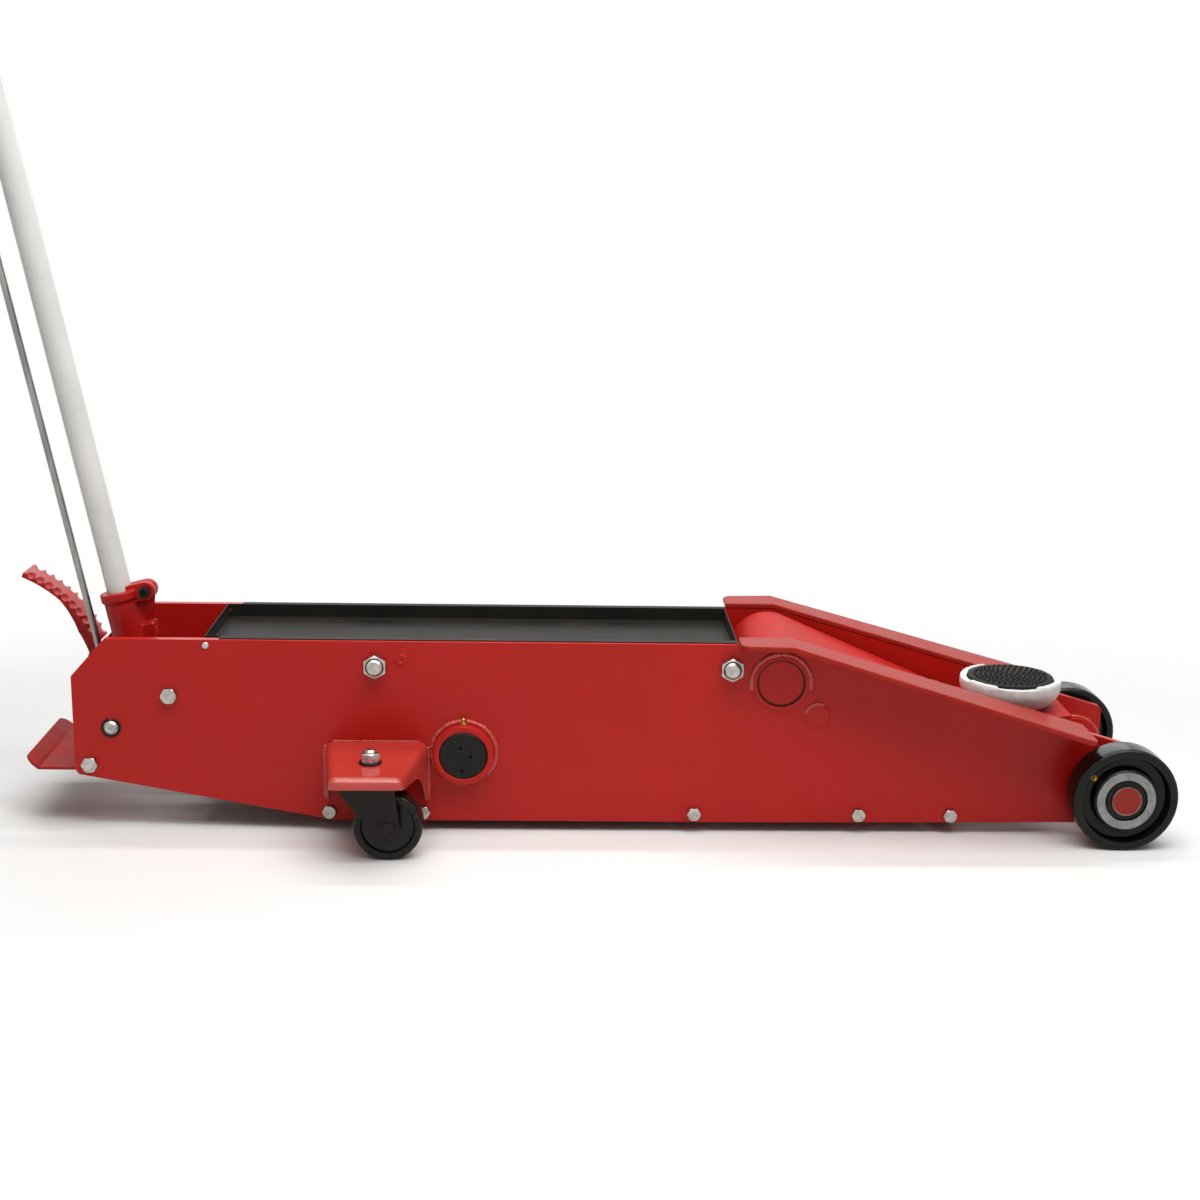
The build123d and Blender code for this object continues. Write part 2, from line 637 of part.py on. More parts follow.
def chassis_bolts():
    bolts = []
    for at in LOWER_AT:
        bolts += pair(on_right(at) * bolt(M12_BOLT, PLATE_T + BOLT_IN_BAR))
    bolts += pair(on_right(REAR_BAR_AT) * bolt(M14_BOLT, PLATE_T + BOLT_IN_BAR))
    bolts += pair(on_right(FOOT_BOLT_AT) * bolt(M14_BOLT, PLATE_T + TRAY_SIDE_GAP + FOOT_TAB_T))
    return bolts + pair(on_right(TRAY_SCREW_AT) * tray_screw())


def tray_screw():
    head = Cylinder(TRAY_SCREW_HEAD_R, TRAY_SCREW_HEAD_H, align=BASE)
    rim = head.edges().filter_by(GeomType.CIRCLE).sort_by(Axis.Z)[-1]
    length = PLATE_T + TRAY_SIDE_GAP + TRAY_T
    shank = Pos(0, 0, -length) * Cylinder(TRAY_SCREW_R, length, align=BASE)
    return fillet(rim, TRAY_SCREW_DOME_R) + shank


def tie_rods():
    pieces = []
    for at in (TIE_ROD_REAR, TIE_ROD_FRONT):
        reach = HALF_W + M20_NUT[1] + TIE_ROD_END
        rod = bar_y(M20_NUT[2], -reach, reach, at) + bar_y(TIE_ROD_SHOULDER_R, -INNER_Y, INNER_Y, at)
        pieces += [rod, *pair(on_right(at) * nut(M20_NUT))]
    return pieces


def tool_tray():
    floor_z = TRAY_FLOOR_Z
    length = (TRAY_REAR_X, TRAY_FRONT_X)
    outer = block(length, (-TRAY_Y, TRAY_Y), (floor_z, PLATE_TOP_Z + TRAY_T))
    outer = fillet(outer.faces().sort_by(Axis.Z)[0].edges(), TRAY_BEND_R)
    inner = block(
        (length[0] + TRAY_T, length[1] - TRAY_T),
        (-TRAY_Y + TRAY_T, TRAY_Y - TRAY_T),
        (floor_z + TRAY_T, PLATE_TOP_Z + 2 * TRAY_T),
    )
    tray = outer - fillet(inner.faces().sort_by(Axis.Z)[0].edges(), TRAY_BEND_R - TRAY_T)
    for side in (-1, 1):
        rim_y = sorted((side * (TRAY_Y - TRAY_T), side * HALF_W))
        rim_x = (length[0] + TRAY_FLANGE_SETBACK, length[1])
        tray += block(rim_x, rim_y, (PLATE_TOP_Z, PLATE_TOP_Z + TRAY_T))
    return tray - bar_y(TRAY_SCREW_R + FIT, -HALF_W, HALF_W, TRAY_SCREW_AT)


def thrust_spacers():
    """Rings that keep the arm, the handle yoke and the pedal in place along their shafts."""
    arm_ring = ring_y(THRUST_RING_R, LIFT_SHAFT_R + FIT, -INNER_Y, -ARM_Y[1] - SEAT_GAP, LIFT_PIVOT)
    near = (-INNER_Y, -YOKE_HALF_W - SEAT_GAP)
    middle = (YOKE_HALF_W + SEAT_GAP, PEDAL_Y[0] - SEAT_GAP)
    far = (PEDAL_Y[1] + SEAT_GAP, INNER_Y)
    rings = pair(arm_ring)
    for y0, y1 in (near, middle, far):
        rings.append(ring_y(PIVOT_SPACER_R, PIVOT_SHAFT_R + FIT, y0, y1, HANDLE_PIVOT))
    return rings


def levelling_pin():
    return bar_y(LEVEL_PIN_R, -HALF_W, -LINK_Y[0] + PIN_PROUD, LEVEL_PIN)


# Front axle and wheels
def axle_sleeves():
    tube = bar_y(AXLE_TUBE_R, -INNER_Y, INNER_Y, AXLE)
    for y0, y1 in ((-INNER_Y, -INNER_Y + AXLE_COLLAR_T), (INNER_Y - AXLE_COLLAR_T, INNER_Y)):
        tube += bar_y(AXLE_COLLAR_R, y0, y1, AXLE)
    tube -= bar_y(AXLE_R + FIT, -HALF_W, HALF_W, AXLE)
    spacer = ring_y(AXLE_TUBE_R, AXLE_R + FIT, -WHEEL_IN_Y + SEAT_GAP, -HALF_W, AXLE)
    return [tube, *pair(spacer)]


def circlips():
    axle_face = WHEEL_OUT_Y - HUB_RING_T + SEAT_GAP
    axle_clip = ring_y(AXLE_CLIP_R, AXLE_R + FIT, -axle_face - AXLE_CLIP_T, -axle_face, AXLE)
    pivot_clip = ring_y(PIVOT_CLIP_R, PIVOT_SHAFT_R + FIT, -HALF_W - PIVOT_CLIP_T, -HALF_W, HANDLE_PIVOT)
    mouth = block(
        (HANDLE_PIVOT[0] - PIVOT_CLIP_MOUTH / 2, HANDLE_PIVOT[0] + PIVOT_CLIP_MOUTH / 2),
        (-HALF_W - PIVOT_CLIP_T - CUT, -HALF_W + CUT),
        (HANDLE_PIVOT[1], HANDLE_PIVOT[1] + PIVOT_CLIP_R + CUT),
    )
    return [*pair(axle_clip), *pair(pivot_clip - mouth)]


def right_wheel():
    """Cast wheel with a deep outer recess, turned about the axle."""
    r = WHEEL_D / 2
    face = WHEEL_OUT_Y
    back = WHEEL_IN_Y
    wheel = bar_y(r, -face, -back, AXLE)
    wheel = fillet(wheel.edges().filter_by(GeomType.CIRCLE), WHEEL_EDGE_R)
    wheel -= ring_y(WHEEL_RIM_R, WHEEL_HUB_R, -face - CUT, -face + WHEEL_RECESS, AXLE)
    wheel -= ring_y(WHEEL_RIM_R, WHEEL_HUB_R, -back - WHEEL_BACK_RECESS, -back + CUT, AXLE)
    wheel -= bar_y(HUB_RING_R + FIT, -face - CUT, -face + HUB_RING_T, AXLE)
    return wheel - bar_y(AXLE_R + RUN, -face - CUT, -back + CUT, AXLE)


def right_wheel_ring():
    return ring_y(HUB_RING_R, HUB_RING_BORE_R, -WHEEL_OUT_Y, -WHEEL_OUT_Y + HUB_RING_T, AXLE)


# Castors, drawn on the left side
def bracket_plan(inset):
    """Plan of the bracket, narrower towards its front, drawn in X and Y."""
    front_y = HALF_W + BRACKET_OUT - inset
    return outline(
        (BRACKET_BACK[0] + inset, HALF_W),
        (BRACKET_BACK[1] - inset, HALF_W),
        (BRACKET_FRONT[1] - inset, front_y),
        (BRACKET_FRONT[0] + inset, front_y),
    )


def bracket_shell(inset, top_z, bend_r):
    body = extrude(Pos(0, 0, BRACKET_LOW_Z - CUT) * bracket_plan(inset), top_z - BRACKET_LOW_Z + CUT)
    top_edges = body.faces().sort_by(Axis.Z)[-1].edges().sort_by(Axis.Y)[1:]
    corners = body.edges().filter_by(Axis.Z).sort_by(Axis.Y)[2:]
    return fillet([*top_edges, *corners], bend_r)


def castor_bracket():
    shell = bracket_shell(0, BRACKET_TOP_Z, BRACKET_BEND_R)
    shell -= bracket_shell(BRACKET_T, BRACKET_TOP_Z - BRACKET_T, BRACKET_BEND_R - BRACKET_T)
    start = (HALF_W - CUT, BRACKET_LOW_Z)
    foot = (HALF_W + GUSSET_FOOT, BRACKET_LOW_Z)
    hollow = (HALF_W + GUSSET_HOLLOW[0], GUSSET_HOLLOW[1])
    knee = (HALF_W + GUSSET_KNEE[0], GUSSET_KNEE[1])
    lip = (HALF_W + BRACKET_OUT + CUT, BRACKET_LIP_Z)
    edge = [Line(start, foot), ThreePointArc(foot, hollow, knee), Line(knee, lip)]
    below = make_face([*edge, Polyline(lip, (lip[0], 0), (start[0], 0), start)])
    span = BRACKET_BACK[1] - BRACKET_BACK[0] + 2 * CUT
    cut = extrude(Plane.YZ.offset(BRACKET_BACK[0] - CUT) * below, span)
    return shell - cut - bar_z(KING_BOLT_R + FIT, 0, BRACKET_TOP_Z + CUT, CASTOR_X, CASTOR_Y)


def king_bolt():
    """Bolt up through the fork and the bracket, its head sunk in the crown, with its washer and nut."""
    head_z = CROWN_TOP_Z - CASTOR_CROWN_T + KING_HEAD_H
    nut_z = BRACKET_TOP_Z + KING_WASHER_T
    end_z = nut_z + M16_NUT[1] + KING_BOLT_END
    pin = bar_z(KING_BOLT_R, head_z - KING_HEAD_H, end_z, CASTOR_X, CASTOR_Y)
    pin += bar_z(KING_HEAD_R, head_z - KING_HEAD_H, head_z, CASTOR_X, CASTOR_Y)
    washer = bar_z(KING_WASHER_R, BRACKET_TOP_Z, nut_z, CASTOR_X, CASTOR_Y)
    washer -= bar_z(KING_BOLT_R + FIT, 0, end_z, CASTOR_X, CASTOR_Y)
    return [pin, washer, Pos(CASTOR_X, CASTOR_Y, nut_z) * nut(M16_NUT)]


def castor_fork():
    """Flat crown under the race, with two legs that narrow down to the axle."""
    crown_z = CROWN_TOP_Z - CASTOR_CROWN_T
    rear_x = CASTOR_X - CASTOR_CROWN_REAR
    front_x = CASTOR_X + CASTOR_CROWN_FRONT
    cheek_out = CASTOR_CHEEK_Y + CASTOR_CHEEK_T
    crown = outline((rear_x, CROWN_TOP_Z), (rear_x, crown_z), (front_x, crown_z), (front_x, CROWN_TOP_Z))
    eye = Pos(*CASTOR_AXLE) * Circle(CASTOR_LEG_R)
    fork = slab_y(make_hull([*crown.edges(), *eye.edges()]), CASTOR_Y - cheek_out, CASTOR_Y + cheek_out)
    fork -= block((0, PLATE_FRONT_X), (CASTOR_Y - CASTOR_CHEEK_Y, CASTOR_Y + CASTOR_CHEEK_Y), (0, crown_z))
    fork += bar_z(CASTOR_RACE_R, CROWN_TOP_Z, CROWN_TOP_Z + CASTOR_RACE_T, CASTOR_X, CASTOR_Y)
    fork -= bar_z(KING_BOLT_R + RUN, 0, PLATE_TOP_Z, CASTOR_X, CASTOR_Y)
    fork -= bar_z(KING_HEAD_R + SEAT_GAP, 0, crown_z + KING_HEAD_H + SEAT_GAP, CASTOR_X, CASTOR_Y)
    axle_half = cheek_out + CASTOR_AXLE_PROUD
    fork += bar_y(CASTOR_AXLE_R, CASTOR_Y - axle_half, CASTOR_Y + axle_half, CASTOR_AXLE)
    for y0, y1 in ((-axle_half, -cheek_out), (cheek_out, axle_half)):
        fork += bar_y(CASTOR_AXLE_HEAD_R, CASTOR_Y + y0, CASTOR_Y + y1, CASTOR_AXLE)
    return fork


def castor_wheel():
    near = CASTOR_Y - CASTOR_WHEEL_W / 2
    far = CASTOR_Y + CASTOR_WHEEL_W / 2
    r = CASTOR_WHEEL_D / 2
    wheel = bar_y(r, near, far, CASTOR_AXLE)
    wheel = fillet(wheel.edges().filter_by(GeomType.CIRCLE), WHEEL_EDGE_R)
    for y0, y1 in ((near - CUT, near + CASTOR_RECESS), (far - CASTOR_RECESS, far + CUT)):
        wheel -= ring_y(r - CASTOR_RIM_T, CASTOR_AXLE_R + CASTOR_HUB_T, y0, y1, CASTOR_AXLE)
    return wheel - bar_y(CASTOR_AXLE_R + RUN, near - CUT, far + CUT, CASTOR_AXLE)


# Hydraulic unit
def trunnion_block():
    half_h = RESERVOIR_R + TRUNNION_BLOCK_WALL
    body = block(
        TRUNNION_BLOCK_X,
        (-TRUNNION_BLOCK_HALF_W, TRUNNION_BLOCK_HALF_W),
        (RAM_Z - half_h, RAM_Z + half_h),
    )
    body = fillet(body.edges().filter_by(Axis.X), TRUNNION_BLOCK_WALL)
    face = TRUNNION_BLOCK_X[1]
    for y in (-SPRING_Y, SPRING_Y):
        body += bar_x(SPRING_STUD_R, face - CUT, face + SPRING_STUD_L, y, RAM_Z)
    return body - bar_x(RESERVOIR_R + FIT, *TRUNNION_BLOCK_X, 0, RAM_Z)


def trunnion_shaft():
    """Stub shaft in the right plate, with a centre and three pin-spanner holes in its end."""
    end = HALF_W + TRUNNION_BOSS_L
    shaft = bar_y(TRUNNION_R, -end, -TRUNNION_BLOCK_HALF_W, TRUNNION)
    holes = (-end - CUT, -end + SPANNER_HOLE_DEPTH)
    shaft -= bar_y(TRUNNION_CENTRE_R, *holes, TRUNNION)
    for angle in SPANNER_ANGLES:
        shaft -= bar_y(SPANNER_HOLE_R, *holes, polar(TRUNNION, SPANNER_CIRCLE_R, angle))
    return shaft


def trunnion_boss():
    boss = ring_y(TRUNNION_BOSS_R, TRUNNION_R + FIT, -HALF_W - TRUNNION_BOSS_L, -HALF_W, TRUNNION)
    return chamfer(boss.faces().sort_by(Axis.Y)[0].edges(), BOSS_CHAMFER)


def hydraulic_cylinder():
    body = bar_x(CYLINDER_R, PUMP_BLOCK_X[1], GLAND_X[0], 0, RAM_Z)
    body -= bar_x(CYLINDER_BORE_R, CYLINDER_BASE_X, GLAND_X[0] + CUT, 0, RAM_Z)
    return body - bar_x(CYLINDER_FEED_R, PUMP_BLOCK_X[1] - CUT, CYLINDER_BASE_X + CUT, 0, RAM_Z)


def oil_reservoir():
    shell = bar_x(RESERVOIR_R, PUMP_BLOCK_X[1], GLAND_X[0], 0, RAM_Z)
    shell -= bar_x(RESERVOIR_R - RESERVOIR_WALL, PUMP_BLOCK_X[1] - CUT, GLAND_X[0] + CUT, 0, RAM_Z)
    return shell - bar_z(FILLER_R + FIT, RAM_Z, RAM_Z + RESERVOIR_R + CUT, FILLER_X, 0)


def cylinder_gland():
    gland = bar_x(RESERVOIR_R, *GLAND_X, 0, RAM_Z)
    rim = gland.edges().filter_by(GeomType.CIRCLE).sort_by(Axis.X)[-1]
    return chamfer(rim, GLAND_CHAMFER) - bar_x(ROD_R + RUN, GLAND_X[0] - CUT, GLAND_X[1] + CUT, 0, RAM_Z)


def filler_plug():
    seat_z = RAM_Z + RESERVOIR_R + SEAT_GAP
    return Pos(FILLER_X, 0, seat_z) * bolt((*FILLER_HEX, FILLER_R), FILLER_DEPTH)


def pump_block():
    half = INNER_Y - PUMP_BLOCK_SIDE_GAP
    body = block(PUMP_BLOCK_X, (-half, half), PUMP_BLOCK_Z)
    body = fillet(body.edges().filter_by(Axis.X), CASTING_R)
    face, back = PUMP_BLOCK_X
    for y in (0, PEDAL_MID_Y):
        body -= bar_x(PLUNGER_R + RUN, face - CUT, back - PLUNGER_BORE_END, y, PLUNGER_Z)
    return body - bar_x(VALVE_STEM_R + FIT, face - CUT, face + VALVE_BORE, *VALVE_AT)


def release_valve():
    face = PUMP_BLOCK_X[0]
    head = Pos(face, *VALVE_AT) * Rot(0, -90, 0) * hexagon(M14_BOLT[0], M14_BOLT[1])
    return head + bar_x(VALVE_STEM_R, face - VALVE_STEM_OUT, face + VALVE_STEM_IN, *VALVE_AT)


def ram_rod():
    piston_x = CYLINDER_BASE_X + PISTON_START
    rod = bar_x(CYLINDER_BORE_R - RUN, piston_x, piston_x + PISTON_L, 0, RAM_Z)
    rod += bar_x(ROD_R, piston_x, CROSSHEAD_X[0], 0, RAM_Z)
    return rod + bar_x(ROD_SPIGOT_R, CROSSHEAD_X[0] - CUT, CROSSHEAD_X[0] + ROD_SPIGOT_L, 0, RAM_Z)


def ram_crosshead():
    """Block on the ram with an upright slot for the crank pin and a lug for each return spring."""
    body = block(
        CROSSHEAD_X,
        (-CROSSHEAD_HALF_W, CROSSHEAD_HALF_W),
        (CRANK_LOW_Z - SLOT_R - CROSSHEAD_WALL, CRANK_PIN[1] + SLOT_R + CROSSHEAD_WALL),
    )
    body = fillet(body.edges().filter_by(Axis.Y), CASTING_R)
    lug_end = ARM_Y[0] - SEAT_SIDE_GAP
    body += bar_y(SPRING_LUG_R, -lug_end, lug_end, (SPRING_LUG_X, RAM_Z))
    low = (CRANK_PIN[0], CRANK_LOW_Z)
    body -= slab_y(strap(low, SLOT_R, CRANK_PIN, SLOT_R), -HALF_W, HALF_W)
    spigot_x = (CROSSHEAD_X[0] - CUT, CROSSHEAD_X[0] + ROD_SPIGOT_L + CUT)
    return body - bar_x(ROD_SPIGOT_R + FIT, *spigot_x, 0, RAM_Z)


def return_spring():
    x0 = TRUNNION_BLOCK_X[1] + SPRING_STUD_L + SEAT_GAP
    x1 = SPRING_LUG_X - SPRING_LUG_R - SEAT_GAP
    coil = bar_x(RETURN_SPRING_R, x0, x1, -SPRING_Y, RAM_Z)
    return coil - bar_x(RETURN_SPRING_R - RETURN_SPRING_WIRE, x0 - CUT, x1 + CUT, -SPRING_Y, RAM_Z)


# Lift arm
def arm_outline(grow):
    """Side of the arm: it narrows to a neck below the saddle, then runs on to the carrier pin."""
    heel = strap(LIFT_PIVOT, ARM_HEEL_R + grow, ARM_NECK, ARM_NECK_R + grow)
    return heel + strap(ARM_NECK, ARM_NECK_R + grow, CARRIER_PIN, ARM_TIP_R + grow)


def arm_plate():
    plate = slab_y(arm_outline(0), -ARM_Y[1], -ARM_Y[0])
    plate -= bar_y(HUB_R + FIT, -HALF_W, 0, LIFT_PIVOT)
    return plate - bar_y(CARRIER_PIN_R + FIT, -HALF_W, 0, CARRIER_PIN)


def arm_hood():
    """Bent cover over the arm plates, from behind the pivot to just short of the saddle."""
    shell = slab_y(arm_outline(HOOD_T), -ARM_Y[1], ARM_Y[1])
    shell -= slab_y(arm_outline(SEAT_GAP), -HALF_W, HALF_W)
    far = PLATE_FRONT_X
    end_x = SADDLE_X - CUP_RIM_R - HOOD_SADDLE_GAP
    rear = polar(LIFT_PIVOT, far, HOOD_REAR_ANGLE)
    below = outline(LIFT_PIVOT, rear, (0, -far), (far, -far), CARRIER_PIN)
    shell -= slab_y(below, -HALF_W, HALF_W)
    return shell - block((end_x, far), (-HALF_W, HALF_W), (-far, far))


def arm_hub():
    """Tube on the lift shaft with the two crank webs that the ram drives."""
    hub = bar_y(HUB_R, -ARM_Y[1], ARM_Y[1], LIFT_PIVOT)
    web = strap(LIFT_PIVOT, CRANK_ROOT_R, CRANK_PIN, CRANK_EYE_R)
    for y0, y1 in (CRANK_WEB_Y, (-CRANK_WEB_Y[1], -CRANK_WEB_Y[0])):
        hub += slab_y(web, y0, y1)
    hub -= bar_y(LIFT_SHAFT_R + RUN, -HALF_W, HALF_W, LIFT_PIVOT)
    return hub - bar_y(CRANK_PIN_R + FIT, -HALF_W, HALF_W, CRANK_PIN)


def arm_pins():
    crank = bar_y(CRANK_PIN_R, -CRANK_WEB_Y[1] - PIN_PROUD, CRANK_WEB_Y[1] + PIN_PROUD, CRANK_PIN)
    return [crank, bar_y(CARRIER_PIN_R, -ARM_Y[1] - PIN_PROUD, ARM_Y[1] + PIN_PROUD, CARRIER_PIN)]


def levelling_link():
    link = slab_y(strap(LEVEL_PIN, LINK_EYE_R, LINK_PIN, LINK_FRONT_R), -LINK_Y[1], -LINK_Y[0])
    link -= bar_y(LEVEL_PIN_R + RUN, -HALF_W, 0, LEVEL_PIN)
    return link - bar_y(LINK_PIN_R + LINK_PIN_ROOM, -HALF_W, 0, LINK_PIN)


def saddle_carrier():
    """Level seat plate on two cheeks, hung between the arm tips."""
    seat_y = CHEEK_Y[1]
    seat = outline(
        (CARRIER_PIN[0] - SEAT_REAR, -seat_y),
        (CARRIER_PIN[0] + SEAT_SHOULDER, -seat_y),
        (CARRIER_PIN[0] + SEAT_NOSE, -SEAT_NOSE_HALF_W),
        (CARRIER_PIN[0] + SEAT_NOSE, SEAT_NOSE_HALF_W),
        (CARRIER_PIN[0] + SEAT_SHOULDER, seat_y),
        (CARRIER_PIN[0] - SEAT_REAR, seat_y),
    )
    carrier = extrude(Pos(0, 0, SEAT_Z - SEAT_T) * seat, SEAT_T)
    cheek = strap(CARRIER_PIN, CHEEK_EYE_R, LINK_PIN, LINK_FRONT_R)
    cheek += outline(
        (CARRIER_PIN[0] - CHEEK_EYE_R, CARRIER_PIN[1]),
        (LINK_PIN[0], LINK_PIN[1]),
        (LINK_PIN[0] + LINK_FRONT_R, LINK_PIN[1]),
        (CARRIER_PIN[0] + SEAT_SHOULDER, SEAT_Z - SEAT_T / 2),
        (CARRIER_PIN[0] - CHEEK_EYE_R, SEAT_Z - SEAT_T / 2),
    )
    for y0, y1 in (CHEEK_Y, (-CHEEK_Y[1], -CHEEK_Y[0])):
        carrier += slab_y(cheek, y0, y1)
    carrier -= bar_y(CARRIER_PIN_R + RUN, -HALF_W, HALF_W, CARRIER_PIN)
    carrier -= bar_y(LINK_PIN_R + FIT, -HALF_W, HALF_W, LINK_PIN)
    return carrier - bar_z(STEM_R + RUN, 0, PLATE_TOP_Z, SADDLE_X, 0)


def carrier_link_pin():
    return bar_y(LINK_PIN_R, -LINK_Y[1], LINK_Y[1], LINK_PIN)


# Saddle
def saddle_cup():
    """Round cast cup on a stem, with a notch in its rim at each quarter."""
    foot_z = SEAT_Z + SEAT_GAP
    rim_z = foot_z + CUP_H
    floor_z = foot_z + PAD_SEAT
    bore_r = CUP_RIM_R - CUP_RIM_T
    profile = make_face(Wire([
        Line((0, foot_z - STEM_L), (STEM_R, foot_z - STEM_L)),
        Line((STEM_R, foot_z - STEM_L), (STEM_R, foot_z)),
        Line((STEM_R, foot_z), (CUP_FOOT_R, foot_z)),
        Spline(
            (CUP_FOOT_R, foot_z),
            (CUP_RIM_R - CUP_BOWL[0], foot_z + CUP_BOWL[1]),
            (CUP_RIM_R, foot_z + CUP_SHOULDER),
            tangents=((1, 0.25), (0, 1)),
        ),
        Line((CUP_RIM_R, foot_z + CUP_SHOULDER), (CUP_RIM_R, rim_z)),
        Line((CUP_RIM_R, rim_z), (bore_r, rim_z)),
        Line((bore_r, rim_z), (bore_r, floor_z)),
        Line((bore_r, floor_z), (0, floor_z)),
        Line((0, floor_z), (0, foot_z - STEM_L)),
    ]))
    cup = Pos(SADDLE_X, 0, 0) * revolve(Plane.XZ * profile, Axis.Z)
    for angle in (0, 90, 180, 270):
        notch = block(
            (bore_r - CUT, CUP_RIM_R + CUT),
            (-CUP_NOTCH_W / 2, CUP_NOTCH_W / 2),
            (rim_z - CUP_NOTCH_DEPTH, rim_z + CUT),
        )
        cup -= Pos(SADDLE_X, 0, 0) * Rot(0, 0, angle) * notch
    return cup


def saddle_pad():
    floor_z = SEAT_Z + SEAT_GAP + PAD_SEAT
    return bar_z(CUP_RIM_R - CUP_RIM_T - PAD_GAP, floor_z, floor_z + PAD_T, SADDLE_X, 0)


# Handle, drawn upright about its pivot and leaned back by its frame
def toe_at(lag):
    """Pump toe below the pivot, lag degrees behind the vertical."""
    return (
        HANDLE_PIVOT[0] - TOE_REACH * sin(radians(lag)),
        HANDLE_PIVOT[1] - TOE_REACH * cos(radians(lag)),
    )


HANDLE_TOE = toe_at(HANDLE_SWING / 2)
PEDAL_TOE = toe_at(PEDAL_SWING / 2)


def handle_yoke():
    """Two ears on the pivot, joined above and by the pump toe below."""
    neck = strap((0, 0), YOKE_EYE_R, (HANDLE_FORWARD, SOCKET_FLOOR), YOKE_HALF_W)
    yoke = HANDLE_FRAME * slab_y(neck, -YOKE_HALF_W, YOKE_HALF_W)
    yoke += slab_y(strap(HANDLE_PIVOT, YOKE_EYE_R, HANDLE_TOE, TOE_STRAP_R), -YOKE_HALF_W, YOKE_HALF_W)
    gap_y = (-YOKE_GAP_HALF, YOKE_GAP_HALF)
    reach = 2 * TOE_REACH
    yoke -= HANDLE_FRAME * block((-reach, reach), gap_y, (-reach, YOKE_GAP_TOP))
    yoke += bar_y(TOE_R, -YOKE_HALF_W, YOKE_HALF_W, HANDLE_TOE)
    return yoke - bar_y(PIVOT_SHAFT_R + RUN, -HALF_W, HALF_W, HANDLE_PIVOT)


def handle_socket():
    """Split collar on the yoke, closed on the tube by two clamp ears."""
    u, s = CLAMP_SCREW_AT
    half = CLAMP_SLIT / 2 + CLAMP_EAR_T
    collar = bar_z(SOCKET_R, SOCKET_FLOOR - SOCKET_BASE_T, SOCKET_TOP, HANDLE_FORWARD, 0)
    collar += bar_z(SOCKET_R + SOCKET_COLLAR_T, SOCKET_TOP - SOCKET_COLLAR_L, SOCKET_TOP, HANDLE_FORWARD, 0)
    collar += slab_y(strap((HANDLE_FORWARD, s), CLAMP_EAR_ROOT_R, (u, s), CLAMP_EAR_R), -half, half)
    rib = outline((HANDLE_FORWARD, s), *SOCKET_RIB, (HANDLE_FORWARD, SOCKET_RIB_FOOT))
    collar += slab_y(rib, -SOCKET_RIB_T / 2, SOCKET_RIB_T / 2)
    collar += block((HANDLE_FORWARD, u), (-SOCKET_LUG_W / 2, SOCKET_LUG_W / 2), SOCKET_LUG)
    collar -= block(
        (HANDLE_FORWARD, u + CLAMP_EAR_R + CUT),
        (-CLAMP_SLIT / 2, CLAMP_SLIT / 2),
        (SOCKET_SLIT_FROM, SOCKET_TOP + CLAMP_EAR_R),
    )
    collar -= bar_y(CLAMP_SCREW_R + FIT, -half - CUT, half + CUT, CLAMP_SCREW_AT)
    tube_bore = bar_z(HANDLE_R + FIT, SOCKET_FLOOR, SOCKET_TOP + CLAMP_EAR_R, HANDLE_FORWARD, 0)
    return handle_yoke() + HANDLE_FRAME * collar - HANDLE_FRAME * tube_bore


def clamp_screw():
    half = CLAMP_SLIT / 2 + CLAMP_EAR_T
    screw = bar_y(CLAMP_SCREW_R, -half - CLAMP_HEAD_H, half + CLAMP_SCREW_PROUD, CLAMP_SCREW_AT)
    screw += bar_y(CLAMP_HEAD_R, -half - CLAMP_HEAD_H, -half, CLAMP_SCREW_AT)
    key = Pos(CLAMP_SCREW_AT[0], -half - CLAMP_HEAD_H / 2, CLAMP_SCREW_AT[1]) * Rot(90, 0, 0)
    return HANDLE_FRAME * (screw - key * extrude(RegularPolygon(CLAMP_KEY_R, 6), CLAMP_HEAD_H))


def handle_tube():
    """Tube with its welded cross bar, the rod guide and the trigger lug."""
    tube = bar_z(HANDLE_R, SOCKET_FLOOR + FIT, HANDLE_TOP, HANDLE_FORWARD, 0)
    tube += bar_y(CROSS_BAR_R, -CROSS_BAR_HALF, CROSS_BAR_HALF, (HANDLE_FORWARD, HANDLE_TOP))
    bore_top = HANDLE_TOP - CROSS_BAR_R - TUBE_PLUG
    tube -= bar_z(HANDLE_R - HANDLE_WALL, 0, bore_top, HANDLE_FORWARD, 0)
    back = HANDLE_FORWARD - HANDLE_R + HANDLE_WALL / 2
    guide_s = (ROD_GUIDE_AT - ROD_GUIDE_L / 2, ROD_GUIDE_AT + ROD_GUIDE_L / 2)
    guide = block((ROD_LINE, back), (-ROD_GUIDE_WEB / 2, ROD_GUIDE_WEB / 2), guide_s)
    guide += bar_z(ROD_GUIDE_R, *guide_s, ROD_LINE, 0)
    tube += guide - bar_z(RELEASE_ROD_R + ROD_GUIDE_ROOM, 0, HANDLE_TOP, ROD_LINE, 0)
    u, s = TRIGGER_AT
    half = RELEASE_EYE_HALF_T
    lug = block((u, back), (-half, half), (s - TRIGGER_LUG_R, s + TRIGGER_LUG_R))
    lug += bar_y(TRIGGER_LUG_R, -half, half, TRIGGER_AT)
    pin_end = half + RELEASE_EYE_GAP + RELEASE_PLATE_T + TRIGGER_PIN_PROUD
    tube += lug + bar_y(RELEASE_PIN_R, -pin_end, half, TRIGGER_AT)
    return HANDLE_FRAME * tube


def handle_grips():
    at = (HANDLE_FORWARD, HANDLE_TOP)
    end = CROSS_BAR_HALF + GRIP_END_T
    grip = bar_y(GRIP_R, -end, -end + GRIP_L, at)
    grip = fillet(grip.edges().filter_by(GeomType.CIRCLE), GRIP_EDGE_R)
    grip -= bar_y(CROSS_BAR_R + FIT, -CROSS_BAR_HALF, 0, at)
    return pair(HANDLE_FRAME * grip)


